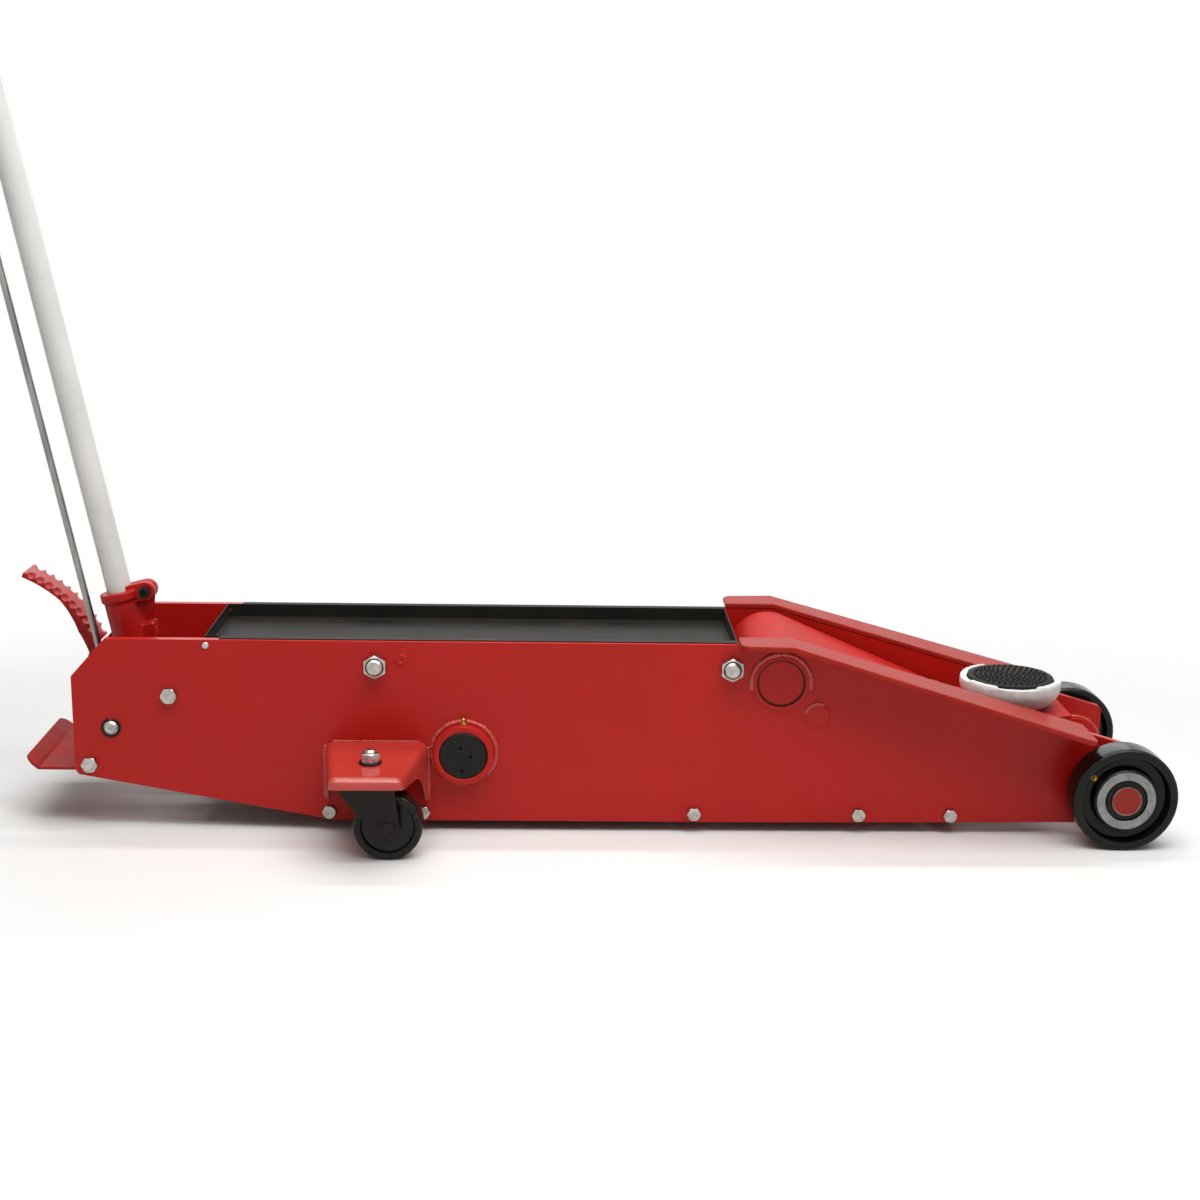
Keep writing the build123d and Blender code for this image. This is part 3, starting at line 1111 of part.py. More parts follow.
# Release gear
def release_rod():
    rod = bar_z(RELEASE_ROD_R, RELEASE_FOOT[1], RELEASE_HEAD[1], ROD_LINE, 0)
    for at in (RELEASE_FOOT, RELEASE_HEAD):
        rod += bar_y(RELEASE_EYE_R, -RELEASE_EYE_HALF_T, RELEASE_EYE_HALF_T, at)
    for at in (RELEASE_FOOT, RELEASE_HEAD):
        rod -= bar_y(RELEASE_PIN_R + RELEASE_PIN_ROOM, -HALF_W, HALF_W, at)
    return HANDLE_FRAME * rod


def release_plate(shape, pivot, pivot_r, pin_at):
    """Flat lever beside the rod, with a pin through the rod's eye."""
    y0 = RELEASE_EYE_HALF_T + RELEASE_EYE_GAP
    y1 = y0 + RELEASE_PLATE_T
    lever = slab_y(shape, -y1, -y0) - bar_y(pivot_r + RUN, -HALF_W, HALF_W, pivot)
    return HANDLE_FRAME * (lever + bar_y(RELEASE_PIN_R, -y1, RELEASE_EYE_HALF_T + PIN_PROUD, pin_at))


def release_crank():
    finger = polar((0, 0), CRANK_FINGER, CRANK_FINGER_ANGLE)
    shape = strap((0, 0), CRANK_HUB_R, RELEASE_FOOT, RELEASE_EYE_R)
    shape += strap((0, 0), CRANK_HUB_R, finger, RELEASE_ROD_R)
    return release_plate(shape, (0, 0), PIVOT_SHAFT_R, RELEASE_FOOT)


def release_trigger():
    lean = atan2(RELEASE_HEAD[1] - TRIGGER_AT[1], RELEASE_HEAD[0] - TRIGGER_AT[0])
    tip = polar(TRIGGER_AT, TRIGGER_L, degrees(lean))
    shape = strap(TRIGGER_AT, TRIGGER_EYE_R, tip, TRIGGER_TIP_R)
    return release_plate(shape, TRIGGER_AT, RELEASE_PIN_R, RELEASE_HEAD)


# Pump plungers and their springs
def plunger(toe, gap, y):
    x0 = toe[0] + TOE_R + gap
    rod = bar_x(PLUNGER_R, x0 + PLUNGER_NOSE_L, PLUNGER_END_X, y, PLUNGER_Z)
    rod += bar_x(PLUNGER_NOSE_R, x0, PLUNGER_END_X, y, PLUNGER_Z)
    collar_end = PLUNGER_COLLAR_X + PLUNGER_COLLAR_T
    return rod + bar_x(PLUNGER_COLLAR_R, PLUNGER_COLLAR_X, collar_end, y, PLUNGER_Z)


def plunger_spring(y):
    x0 = PLUNGER_COLLAR_X + PLUNGER_COLLAR_T + SEAT_GAP
    x1 = PUMP_BLOCK_X[0] - SEAT_GAP
    coil = bar_x(PUMP_SPRING_R, x0, x1, y, PLUNGER_Z)
    return coil - bar_x(PUMP_SPRING_R - PUMP_SPRING_WIRE, x0 - CUT, x1 + CUT, y, PLUNGER_Z)


# Quick-lift pedal
def pedal():
    """Cast lever with a curved, scalloped tread, its web, hub and pump toe."""
    web_y = (PEDAL_MID_Y - PEDAL_WEB_T / 2, PEDAL_MID_Y + PEDAL_WEB_T / 2)
    web_r = PEDAL_ARC_R - PEDAL_TREAD_T
    tread = ring_sector(PEDAL_ARC_AT, web_r, PEDAL_ARC_R, *PEDAL_ARC)
    lever = slab_y(tread, *PEDAL_Y)
    web = ring_sector(PEDAL_ARC_AT, web_r - PEDAL_WEB_DEPTH, web_r + CUT, *PEDAL_WEB_ARC)
    lever += slab_y(web, *web_y)
    heel = polar(PEDAL_ARC_AT, PEDAL_ARC_R - PEDAL_NECK_R, PEDAL_WEB_ARC[0])
    lever += slab_y(strap(HANDLE_PIVOT, PEDAL_HUB_R, heel, PEDAL_NECK_R), *web_y)
    lever += slab_y(strap(HANDLE_PIVOT, TOE_R, PEDAL_TOE, PEDAL_TOE_STRAP_R), *web_y)
    lever += bar_y(TOE_R, *web_y, PEDAL_TOE)
    lever += bar_y(PEDAL_HUB_R, *PEDAL_Y, HANDLE_PIVOT)
    lever -= bar_y(PIVOT_SHAFT_R + RUN, -HALF_W, HALF_W, HANDLE_PIVOT)
    step = degrees(SCALLOP_PITCH / PEDAL_ARC_R)
    count = int((PEDAL_ARC[1] - PEDAL_ARC[0]) / step)
    for index in range(count):
        angle = PEDAL_ARC[0] + (index + SCALLOP_START) * step
        x, z = polar(PEDAL_ARC_AT, PEDAL_ARC_R, angle)
        for y in PEDAL_Y:
            lever -= Pos(x, y, z) * Rot(0, 90 - angle, 0) * Cylinder(SCALLOP_R, 3 * PEDAL_TREAD_T)
    return lever


def build():
    """Every node by name: one solid, or a list of separate solids."""
    plate = side_plate()
    arm = arm_plate()
    wheel = right_wheel()
    ring = right_wheel_ring()
    bracket = castor_bracket()
    fork = castor_fork()
    castor = castor_wheel()
    king_bolts = king_bolt()
    return {
        "right_side_plate": plate,
        "left_side_plate": left_of(plate),
        "top_flanges": pair(top_flange()),
        "foot_plate": foot_plate(),
        "cross_bars": cross_bars(),
        "chassis_bolts": chassis_bolts(),
        "tie_rods": tie_rods(),
        "tool_tray": tool_tray(),
        "lift_pivot_shaft": bar_y(LIFT_SHAFT_R, -HALF_W, HALF_W, LIFT_PIVOT),
        "thrust_spacers": thrust_spacers(),
        "levelling_pins": pair(levelling_pin()),
        "trunnion_block": trunnion_block(),
        "trunnion_shafts": pair(trunnion_shaft()),
        "trunnion_bosses": pair(trunnion_boss()),
        "front_axle": bar_y(AXLE_R, -WHEEL_OUT_Y - AXLE_PROUD, WHEEL_OUT_Y + AXLE_PROUD, AXLE),
        "axle_sleeves": axle_sleeves(),
        "circlips": circlips(),
        "right_castor_bracket": left_of(bracket),
        "left_castor_bracket": bracket,
        "castor_kingbolts": king_bolts + [left_of(piece) for piece in king_bolts],
        "hydraulic_cylinder": hydraulic_cylinder(),
        "oil_reservoir": oil_reservoir(),
        "cylinder_gland": cylinder_gland(),
        "pump_block": pump_block(),
        "filler_plug": filler_plug(),
        "release_valve": release_valve(),
        "handle_pivot_shaft": bar_y(
            PIVOT_SHAFT_R, -HALF_W - PIVOT_SHAFT_PROUD, HALF_W + PIVOT_SHAFT_PROUD, HANDLE_PIVOT
        ),
        "return_springs": pair(return_spring()),
        "pump_spring": plunger_spring(0),
        "quick_lift_spring": plunger_spring(PEDAL_MID_Y),
        "right_arm_plate": arm,
        "left_arm_plate": left_of(arm),
        "arm_hood": arm_hood(),
        "arm_hub": arm_hub(),
        "arm_pins": arm_pins(),
        "levelling_links": pair(levelling_link()),
        "saddle_carrier": saddle_carrier(),
        "carrier_link_pin": carrier_link_pin(),
        "saddle_cup": saddle_cup(),
        "saddle_pad": saddle_pad(),
        "ram_rod": ram_rod(),
        "ram_crosshead": ram_crosshead(),
        "handle_socket": handle_socket(),
        "handle_tube": handle_tube(),
        "handle_grips": handle_grips(),
        "clamp_screw": clamp_screw(),
        "release_trigger": release_trigger(),
        "release_rod": release_rod(),
        "release_crank": release_crank(),
        "pump_plunger": plunger(HANDLE_TOE, TOE_GAP, 0),
        "quick_lift_pedal": pedal(),
        "quick_lift_plunger": plunger(PEDAL_TOE, PEDAL_TOE_GAP, PEDAL_MID_Y),
        "right_front_wheel": wheel,
        "left_front_wheel": left_of(wheel),
        "right_wheel_ring": ring,
        "left_wheel_ring": left_of(ring),
        "right_castor_fork": left_of(fork),
        "left_castor_fork": fork,
        "right_castor_wheel": left_of(castor),
        "left_castor_wheel": castor,
    }


def main():
    nodes = {}
    for name, shape in build().items():
        nodes[name] = shape if isinstance(shape, list) else [shape]
    boxes = [piece.bounding_box() for pieces in nodes.values() for piece in pieces]
    middle_x = (min(box.min.X for box in boxes) + max(box.max.X for box in boxes)) / 2
    os.makedirs("parts", exist_ok=True)
    for name, pieces in nodes.items():
        moved = [Pos(-middle_x, 0, 0) * piece for piece in pieces]
        export_step(moved[0] if len(moved) == 1 else Compound(children=moved), f"parts/{name}.step")
    print(f"{len(nodes)} nodes, origin at X = {middle_x:.3f}")


main()
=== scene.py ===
import json
import random
from math import cos, degrees, pi, radians, sin, sqrt, tau

import bpy
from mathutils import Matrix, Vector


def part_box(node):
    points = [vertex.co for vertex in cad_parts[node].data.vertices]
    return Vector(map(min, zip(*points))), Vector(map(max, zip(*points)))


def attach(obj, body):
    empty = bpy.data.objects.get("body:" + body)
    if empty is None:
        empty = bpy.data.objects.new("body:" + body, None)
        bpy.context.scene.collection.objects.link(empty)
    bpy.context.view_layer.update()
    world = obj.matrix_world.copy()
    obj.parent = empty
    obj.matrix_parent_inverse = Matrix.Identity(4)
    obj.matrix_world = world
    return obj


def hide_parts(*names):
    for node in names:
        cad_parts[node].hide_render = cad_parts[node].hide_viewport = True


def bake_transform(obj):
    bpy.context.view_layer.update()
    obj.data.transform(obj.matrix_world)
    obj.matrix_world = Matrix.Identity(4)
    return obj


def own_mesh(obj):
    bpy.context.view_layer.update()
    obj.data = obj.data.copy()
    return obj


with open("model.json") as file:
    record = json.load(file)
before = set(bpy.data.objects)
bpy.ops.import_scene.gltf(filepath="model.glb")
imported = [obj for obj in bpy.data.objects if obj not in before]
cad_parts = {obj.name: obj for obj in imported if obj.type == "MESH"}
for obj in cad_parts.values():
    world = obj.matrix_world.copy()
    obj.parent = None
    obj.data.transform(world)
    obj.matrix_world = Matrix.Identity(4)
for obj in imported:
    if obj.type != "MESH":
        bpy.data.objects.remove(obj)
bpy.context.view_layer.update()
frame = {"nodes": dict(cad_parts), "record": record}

# Studio: a pale floor that fades into a white surround, a broad soft light overhead with weaker ones in
# front and behind, and the camera that sees the jack from its right side, a little from above.
CAMERA_AT = (0.0311, -2.6178, 0.9436)
CAMERA_TURN = (76.538, -0.924, -1.449)
CAMERA_LENS = 55.22
FLOOR_HALF = 12.0
FLOOR_FADE = (0.9, 2.0)
FLOOR_FADE_DEPTH = 1.6
AMBIENT = 0.15


def linear(colour):
    """Linear RGBA of an sRGB hex colour."""
    channels = [int(colour[at:at + 2], 16) / 255 for at in (0, 2, 4)]
    return [c / 12.92 if c <= 0.04045 else ((c + 0.055) / 1.055) ** 2.4 for c in channels] + [1.0]


def add_node(tree, kind, sockets=None, **settings):
    """Add a node: settings are its properties, sockets its inputs, each a value or an output to link."""
    node = tree.nodes.new("ShaderNode" + kind)
    for name, value in settings.items():
        setattr(node, name, value)
    for key, value in (sockets or {}).items():
        if isinstance(value, bpy.types.NodeSocket):
            tree.links.new(value, node.inputs[key])
        else:
            node.inputs[key].default_value = value
    return node


def seen_directly(tree):
    """1 for what the camera, a reflection or a transparent piece shows, 0 for light that falls on things."""
    rays = add_node(tree, "LightPath").outputs
    seen = add_node(
        tree, "Math", {0: rays["Is Camera Ray"], 1: rays["Is Glossy Ray"]}, operation="MAXIMUM"
    )
    seen = add_node(
        tree, "Math", {0: seen.outputs[0], 1: rays["Is Transmission Ray"]}, operation="MAXIMUM"
    )
    return seen.outputs[0]


scene = bpy.context.scene
scene.view_settings.view_transform = "Standard"
camera = bpy.data.objects.new("camera", bpy.data.cameras.new("camera"))
camera.data.lens = CAMERA_LENS
camera.location = CAMERA_AT
camera.rotation_euler = [radians(angle) for angle in CAMERA_TURN]
scene.collection.objects.link(camera)
scene.camera = camera

world = bpy.data.worlds.new("white_surround")
scene.world = world
world.use_nodes = True
world.node_tree.nodes.clear()
level = add_node(
    world.node_tree, "MapRange", {"Value": seen_directly(world.node_tree), "To Min": AMBIENT, "To Max": 1.0}
)
surround = add_node(
    world.node_tree, "Background", {"Color": linear("ffffff"), "Strength": level.outputs[0]}
)
add_node(world.node_tree, "OutputWorld", {"Surface": surround.outputs[0]})

for name, place, tilt, size, power in (
    ("overhead_softbox", (0.9, -1.3, 3.2), 0, (4.0, 2.8), 122),
    ("front_strip", (0.0, -1.1, 2.5), -10, (2.8, 0.16), 24),
    ("rear_strip", (0.0, 0.5, 2.5), 0, (2.8, 0.16), 24),
    ("front_fill", (-0.4, -3.4, 2.2), 62, (4.0, 2.0), 5),
    ("back_fill", (0.2, 3.4, 2.2), -62, (4.0, 2.0), 30),
):
    lamp = bpy.data.lights.new(name, "AREA")
    lamp.shape = "RECTANGLE"
    lamp.size, lamp.size_y = size
    lamp.energy = power
    light = bpy.data.objects.new(name, lamp)
    light.location = place
    light.rotation_euler = (radians(tilt), 0, 0)
    scene.collection.objects.link(light)

bpy.ops.object.select_all(action="DESELECT")
bpy.ops.mesh.primitive_plane_add(size=2 * FLOOR_HALF)
floor = bpy.context.object
floor.name = "floor"

# Pale paper: matt and a little grey, so that it keeps the jack's shadow, and fading to white further out.
paper = bpy.data.materials.new("pale_paper")
paper.use_nodes = True
tree = paper.node_tree
tree.nodes.clear()
place = add_node(tree, "TexCoord").outputs["Object"]
round_jack = add_node(tree, "Mapping", {"Vector": place, "Scale": (1.0, FLOOR_FADE_DEPTH, 1.0)})
away = add_node(tree, "VectorMath", {0: round_jack.outputs["Vector"]}, operation="LENGTH").outputs["Value"]
fade = add_node(
    tree, "MapRange", {"Value": away, "From Min": FLOOR_FADE[0], "From Max": FLOOR_FADE[1]},
    interpolation_type="SMOOTHSTEP",
)
fade = add_node(tree, "Math", {0: fade.outputs[0], 1: seen_directly(tree)}, operation="MULTIPLY")
sheet = add_node(tree, "BsdfPrincipled", {"Base Color": linear("dededc"), "Roughness": 0.7})
glow = add_node(tree, "Emission", {"Color": linear("ffffff"), "Strength": 1.0})
mixed = add_node(
    tree, "MixShader", {0: fade.outputs[0], 1: sheet.outputs[0], 2: glow.outputs[0]}
)
add_node(tree, "OutputMaterial", {"Surface": mixed.outputs[0]})
floor.data.materials.append(paper)

# Side plates: two 12 mm steel plates, flame cut, ground along the edges, drilled for every pivot and bolt,
# and sprayed with red enamel.
MM = 0.001
PLATE_EDGE = 1.4
CLOUD_RANGE = (0.25, 0.75)
MARK_RANGE = (0.75, 0.8)
SHARP = radians(35)
TOUCHING = 1e-6
FLAT = radians(0.2)
SLOT_OF = {name: node.material_slots[0].material.name for name, node in frame["nodes"].items()}
BODY_OF = {
    node: body for body, nodes in frame["record"]["behaviour"]["bodies"].items() for node in nodes
}


def surface(name, shades, patch, gloss, grain, depth, marks=None, stretch=(1, 1, 1), shader=None):
    """A finish, with sizes in millimetres: two shades and two roughnesses that drift over patches, a grain
    of some depth that stands on it, and marks of one colour, their size and how much of it shows."""
    material = bpy.data.materials.new(name)
    material.use_nodes = True
    tree = material.node_tree
    tree.nodes.clear()
    place = add_node(tree, "TexCoord").outputs["Object"]
    place = add_node(tree, "Mapping", {"Vector": place, "Scale": stretch}).outputs["Vector"]
    cloud = add_node(tree, "TexNoise", {"Vector": place, "Scale": 1 / (patch * MM), "Detail": 2.5})
    colour = add_node(tree, "ValToRGB", {"Fac": cloud.outputs["Fac"]})
    colour.color_ramp.interpolation = "EASE"
    for stop, at, shade in zip(colour.color_ramp.elements, CLOUD_RANGE, shades):
        stop.position = at
        stop.color = linear(shade)
    colour = colour.outputs["Color"]
    if marks:
        shade, size, share = marks
        spots = add_node(
            tree, "TexNoise", {"Vector": place, "Scale": 1 / (size * MM), "Detail": 6.0, "Roughness": 0.65}
        )
        cover = add_node(
            tree, "MapRange",
            {
                "Value": spots.outputs["Fac"], "From Min": MARK_RANGE[0] - share,
                "From Max": MARK_RANGE[1] - share / 2,
            },
        )
        colour = add_node(
            tree, "Mix", {0: cover.outputs[0], 6: colour, 7: linear(shade)}, data_type="RGBA"
        ).outputs[2]
    sheen = add_node(
        tree, "MapRange",
        {
            "Value": cloud.outputs["Fac"], "From Min": CLOUD_RANGE[0], "From Max": CLOUD_RANGE[1],
            "To Min": gloss[0], "To Max": gloss[1],
        },
        interpolation_type="SMOOTHSTEP",
    )
    bumps = add_node(tree, "TexNoise", {"Vector": place, "Scale": 1 / (grain * MM), "Detail": 3.0})
    relief = add_node(
        tree, "Bump", {"Height": bumps.outputs["Fac"], "Strength": 1.0, "Distance": depth * MM}
    )
    sockets = {"Base Color": colour, "Roughness": sheen.outputs[0], "Normal": relief.outputs["Normal"]}
    coating = add_node(tree, "BsdfPrincipled", {**sockets, **(shader or {})})
    add_node(tree, "OutputMaterial", {"Surface": coating.outputs[0]})
    return material


def select_only(piece):
    """Make one object the only selected one and the active one, so that operators act on it alone."""
    bpy.ops.object.select_all(action="DESELECT")
    piece.select_set(True)
    bpy.context.view_layer.objects.active = piece


def settle(piece, material, body, slot, *nodes):
    """Finish a piece: its material, the body that it rides on, its slot, which is not used, and the CAD
    pieces it stands for.
    """
    piece.data.materials.clear()
    piece.data.materials.append(material)
    if body:
        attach(piece, body)
    if nodes:
        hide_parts(*nodes)


def copy_of(mesh_owner, name):
    """A new object with its own copy of another's mesh."""
    piece = bpy.data.objects.new(name, mesh_owner.data.copy())
    scene.collection.objects.link(piece)
    select_only(piece)
    return piece


def merged_copy(node, name):
    """A copy of a CAD piece whose loose triangles are merged into whole faces."""
    piece = copy_of(frame["nodes"][node], name)
    bpy.ops.object.mode_set(mode="EDIT")
    bpy.ops.mesh.select_all(action="SELECT")
    bpy.ops.mesh.remove_doubles(threshold=TOUCHING)
    bpy.ops.mesh.dissolve_limited(angle_limit=FLAT)
    bpy.ops.object.mode_set(mode="OBJECT")
    return piece


def round_edges(piece, edge, clamp=True):
    """Round the sharp edges of a piece by so many millimetres."""
    select_only(piece)
    rounding = piece.modifiers.new("rounded_edges", "BEVEL")
    rounding.width = edge * MM
    rounding.segments = 2
    rounding.limit_method = "ANGLE"
    rounding.angle_limit = SHARP
    rounding.use_clamp_overlap = clamp
    rounding.harden_normals = True
    bpy.ops.object.shade_smooth_by_angle(angle=SHARP)
    bpy.ops.object.modifier_apply(modifier=rounding.name)


def eased(node, edge, material):
    """Stand a copy of a CAD piece in its place, with its sharp edges rounded by so many millimetres."""
    piece = merged_copy(node, "eased_" + node)
    round_edges(piece, edge)
    settle(piece, material, BODY_OF[node], SLOT_OF[node], node)


# Sprayed enamel: deep red, semi-gloss, with the slow ripple of orange peel and a few darker handling marks.
# The ripple is drawn about 5 mm wide, coarser than the real one, so that it shows.
red_enamel = surface(
    "sprayed_red_enamel", ("aa1812", "b01a14"), 140, (0.3, 0.34), 5, 0.02, marks=("a51710", 9, 0.04),
    shader={"Specular IOR Level": 0.2},
)
eased("right_side_plate", PLATE_EDGE, red_enamel)
eased("left_side_plate", PLATE_EDGE, red_enamel)

# Top flanges: 8 mm plates bent at the nose and welded along the top edge of each side plate. They widen
# forwards to guard the wheels, and their edges are rounded by hand grinding.
FLANGE_EDGE = 2.2

# Flange enamel: the plates' red paint on ground and bent plate, smooth and a little dull, so that its own
# shine is faint. Its base is a paler, pinker red than the plates', a painted sheen in place of the pale
# reflection along it.
flange_enamel_with_painted_sheen = surface(
    "smooth_red_enamel_with_painted_sheen", ("93271f", "9d2b23"), 60, (0.26, 0.36), 6, 0.015, marks=("8c241c", 9, 0.04),
    shader={"Specular IOR Level": 0.035},
)
eased("top_flanges", FLANGE_EDGE, flange_enamel_with_painted_sheen)

# Foot plate and cross bars: a bent sheet with a turned-up lip below the handle, and square and round bars
# that hold the side plates apart. All are painted with the plates.
FOOT_EDGE = 0.8


def coat(material, *nodes):
    """Give CAD pieces that keep their shape a better finish."""
    for node in nodes:
        frame["nodes"][node].material_slots[0].material = material


# Trodden enamel: the same red, dulled and darkened by boots, with smears of ground-in dirt.
trodden_enamel = surface(
    "trodden_red_enamel", ("8a1f1a", "9a2520"), 45, (0.5, 0.64), 4, 0.04, marks=("641813", 22, 0.1),
    shader={"Specular IOR Level": 0.12},
)
eased("foot_plate", FOOT_EDGE, trodden_enamel)
coat(red_enamel, "cross_bars")

# Bolts along the chassis: forged steel with hexagon heads, put through the side plates into the cross bars
# and the foot plate, with a small round-headed screw at each rear corner of the tray. All are zinc plated.
BOLT_EDGE = 0.7

# Zinc plate: a clouded grey metal with brighter patches, bright edges and small brownish stains.
zinc_plate = surface(
    "clouded_zinc_plate", ("a09c97", "c0bcb6"), 7, (0.22, 0.36), 1.5, 0.03, marks=("7a716a", 5, 0.08),
    shader={"Metallic": 1.0},
)
eased("chassis_bolts", BOLT_EDGE, zinc_plate)

# Tool tray: 1.5 mm steel sheet, folded up all round and powder coated. Its rims rest on the side plates, and
# a screw at each rear corner holds it.
TRAY_EDGE = 0.5
RIM_SHORT = 4.5

# Powder coat: satin black with a fine pebble, drawn 1.2 mm wide so that it shows, and paler smears of dust.
black_powder = surface(
    "satin_black_powder_coat", ("1b1916", "26231f"), 90, (0.46, 0.58), 1.2, 0.03, marks=("322e2a", 22, 0.06),
    shader={"Specular IOR Level": 0.08},
)
tray = merged_copy("tool_tray", "folded_tool_tray")
PLATE_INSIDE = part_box("right_side_plate")[1].y
for corner in tray.data.vertices:
    corner.select = abs(corner.co.y) > abs(PLATE_INSIDE)
bpy.ops.object.mode_set(mode="EDIT")
rim_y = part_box("tool_tray")[1].y / MM
bpy.ops.transform.resize(value=(1, 1 - RIM_SHORT / rim_y, 1), center_override=(0, 0, 0))
bpy.ops.object.mode_set(mode="OBJECT")
round_edges(tray, TRAY_EDGE, clamp=False)
settle(tray, black_powder, BODY_OF["tool_tray"], SLOT_OF["tool_tray"], "tool_tray")

# Lift pivot and levelling pins: turned shafts set flush with the side plates. A bush ring is welded round the
# lift shaft, a short weld holds each levelling pin, and a dark ring fills the joint round both: partly oily
# dirt, partly painted shade in the gap.
PLATE_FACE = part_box("right_side_plate")[0].y
BUSH_R = (34.4, 40.6)
BUSH_PROUD = 3.2
GREASE_AND_SHADE_R = (31.8, 34.8)
PIN_PROUD = 1.8
TURNING_STEPS = 72
TURNED_SHARP = radians(32)
BEAD_GRIT = 0.8
DROP_RANGE = (0.86, 1.14)


def middle(node):
    """Middle of a CAD piece's box."""
    low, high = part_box(node)
    return (low + high) / 2


def arc(r, z, radius, start, end, steps=6):
    """Points of an arc for an outline, its angles in degrees."""
    turns = [radians(start + (end - start) * step / steps) for step in range(steps + 1)]
    return [(r + radius * cos(turn), z + radius * sin(turn)) for turn in turns]


def turned(name, outline, steps=TURNING_STEPS):
    """A piece turned about the Z axis from half its section: distances from the axis and along it in mm."""
    bpy.ops.object.select_all(action="DESELECT")
    bpy.ops.mesh.primitive_plane_add(size=1)
    piece = bpy.context.object
    piece.name = name
    bpy.ops.object.mode_set(mode="EDIT")
    bpy.ops.mesh.merge(type="CENTER")
    bpy.ops.transform.translate(value=(outline[0][0] * MM, 0, outline[0][1] * MM))
    for (r, z), (next_r, next_z) in zip(outline, outline[1:]):
        step = ((next_r - r) * MM, 0, (next_z - z) * MM)
        bpy.ops.mesh.extrude_region_move(TRANSFORM_OT_translate={"value": step})
    bpy.ops.mesh.select_all(action="SELECT")
    bpy.ops.mesh.spin(steps=steps, angle=tau, center=(0, 0, 0), axis=(0, 0, 1))
    bpy.ops.mesh.select_all(action="SELECT")
    bpy.ops.mesh.remove_doubles(threshold=TOUCHING)
    bpy.ops.mesh.normals_make_consistent(inside=False)
    bpy.ops.object.mode_set(mode="OBJECT")
    bpy.ops.object.shade_smooth_by_angle(angle=TURNED_SHARP)
    return piece


def put(piece, place, turn=(0, 0, 0)):
    """Turn a piece by degrees about X, Y and Z, move it to its place, and keep both in its mesh."""
    select_only(piece)
    piece.rotation_euler = [radians(angle) for angle in turn]
    piece.location = place
    bpy.ops.object.transform_apply(location=True, rotation=True, scale=True)
    return piece


def mirrored(piece, name):
    """The same piece for the left side of the jack, with its own mesh."""
    twin = copy_of(piece, name)
    twin.scale = (1, -1, 1)
    bpy.ops.object.transform_apply(location=True, rotation=True, scale=True)
    bpy.ops.object.mode_set(mode="EDIT")
    bpy.ops.mesh.select_all(action="SELECT")
    bpy.ops.mesh.normals_make_consistent(inside=False)
    bpy.ops.object.mode_set(mode="OBJECT")
    return twin


def round_drops(centre, r, start, end, gap, y=PLATE_FACE):
    """Places on the face of the right side plate, along an arc about a point, from angle to angle."""
    count = max(2, round(radians(abs(end - start)) * r / gap))
    turns = [radians(start + (end - start) * at / count) for at in range(count + 1)]
    return [(centre.x + r * MM * cos(turn), y, centre.z + r * MM * sin(turn)) for turn in turns]


def weld_bead(name, places, size, seed):
    """A bead of weld: overlapping drops of uneven size that are fused into one skin."""
    uneven = random.Random(seed)
    bpy.ops.object.select_all(action="DESELECT")
    bpy.ops.mesh.primitive_ico_sphere_add(subdivisions=2, radius=size * MM / 2, location=places[0])
    bead = bpy.context.object
    bead.name = name
    bpy.ops.object.transform_apply(location=True, rotation=True, scale=True)
    bpy.ops.object.mode_set(mode="EDIT")
    for place in places[1:]:
        drop = size * MM / 2 * uneven.uniform(*DROP_RANGE)
        bpy.ops.mesh.primitive_ico_sphere_add(subdivisions=2, radius=drop, location=place)
    bpy.ops.object.mode_set(mode="OBJECT")
    fused = bead.modifiers.new("fused_drops", "REMESH")
    fused.mode = "VOXEL"
    fused.voxel_size = BEAD_GRIT * MM
    smoothed = bead.modifiers.new("flowed_metal", "SMOOTH")
    smoothed.factor = 0.5
    smoothed.iterations = 2
    bpy.ops.object.modifier_apply(modifier=fused.name)
    bpy.ops.object.modifier_apply(modifier=smoothed.name)
    bpy.ops.object.shade_smooth()
    return bead


def both_sides(piece, material, body, slot, *nodes):
    """Finish a piece of the right side, and its mirror image as the same piece of the left side."""
    settle(piece, material, body, slot, *nodes)
    twin = mirrored(piece, "left_" + piece.name.removeprefix("right_"))
    left_body, *left_nodes = [name.replace("right_", "left_") for name in (body, *nodes)]
    settle(twin, material, left_body, slot, *left_nodes)


# Thick enamel: the plates' red paint where it was sprayed heavily, on welds and pressings, with a paler,
# pinker base colour than the plates' that paints in part of the sheen on their faces. It also keeps a wet
# shine that shows the lamps as streaks along every rounded edge.
thick_enamel_with_painted_sheen = surface(
    "thick_red_enamel_with_painted_sheen", ("aa342b", "b3382f"), 60, (0.08, 0.14), 6, 0.015, marks=("a53027", 9, 0.04),
    shader={"Specular IOR Level": 0.5},
)
coat(red_enamel, "lift_pivot_shaft", "levelling_pins")
lift_axis = middle("lift_pivot_shaft")
bush = turned(
    "right_bush_ring",
    [
        (BUSH_R[0], -1), (BUSH_R[0], BUSH_PROUD - 0.8), (BUSH_R[0] + 0.8, BUSH_PROUD),
        (BUSH_R[1] - 1.4, BUSH_PROUD), (BUSH_R[1] - 0.4, BUSH_PROUD - 0.6), (BUSH_R[1], BUSH_PROUD - 1.4),
        (BUSH_R[1], -1), (BUSH_R[0], -1),
    ],
)
put(bush, (lift_axis.x, PLATE_FACE, lift_axis.z), (90, 0, 0))
both_sides(bush, red_enamel, "chassis", "red_paint")

# Oily dirt and painted shade: nearly black, partly grease and partly painted shade in the gaps, thick and a
# little shiny where the grease has run.
grease_and_painted_shade = surface(
    "grease_and_painted_shade", ("120d08", "2c2216"), 4, (0.3, 0.6), 1.5, 0.08, shader={"Specular IOR Level": 0.15}
)
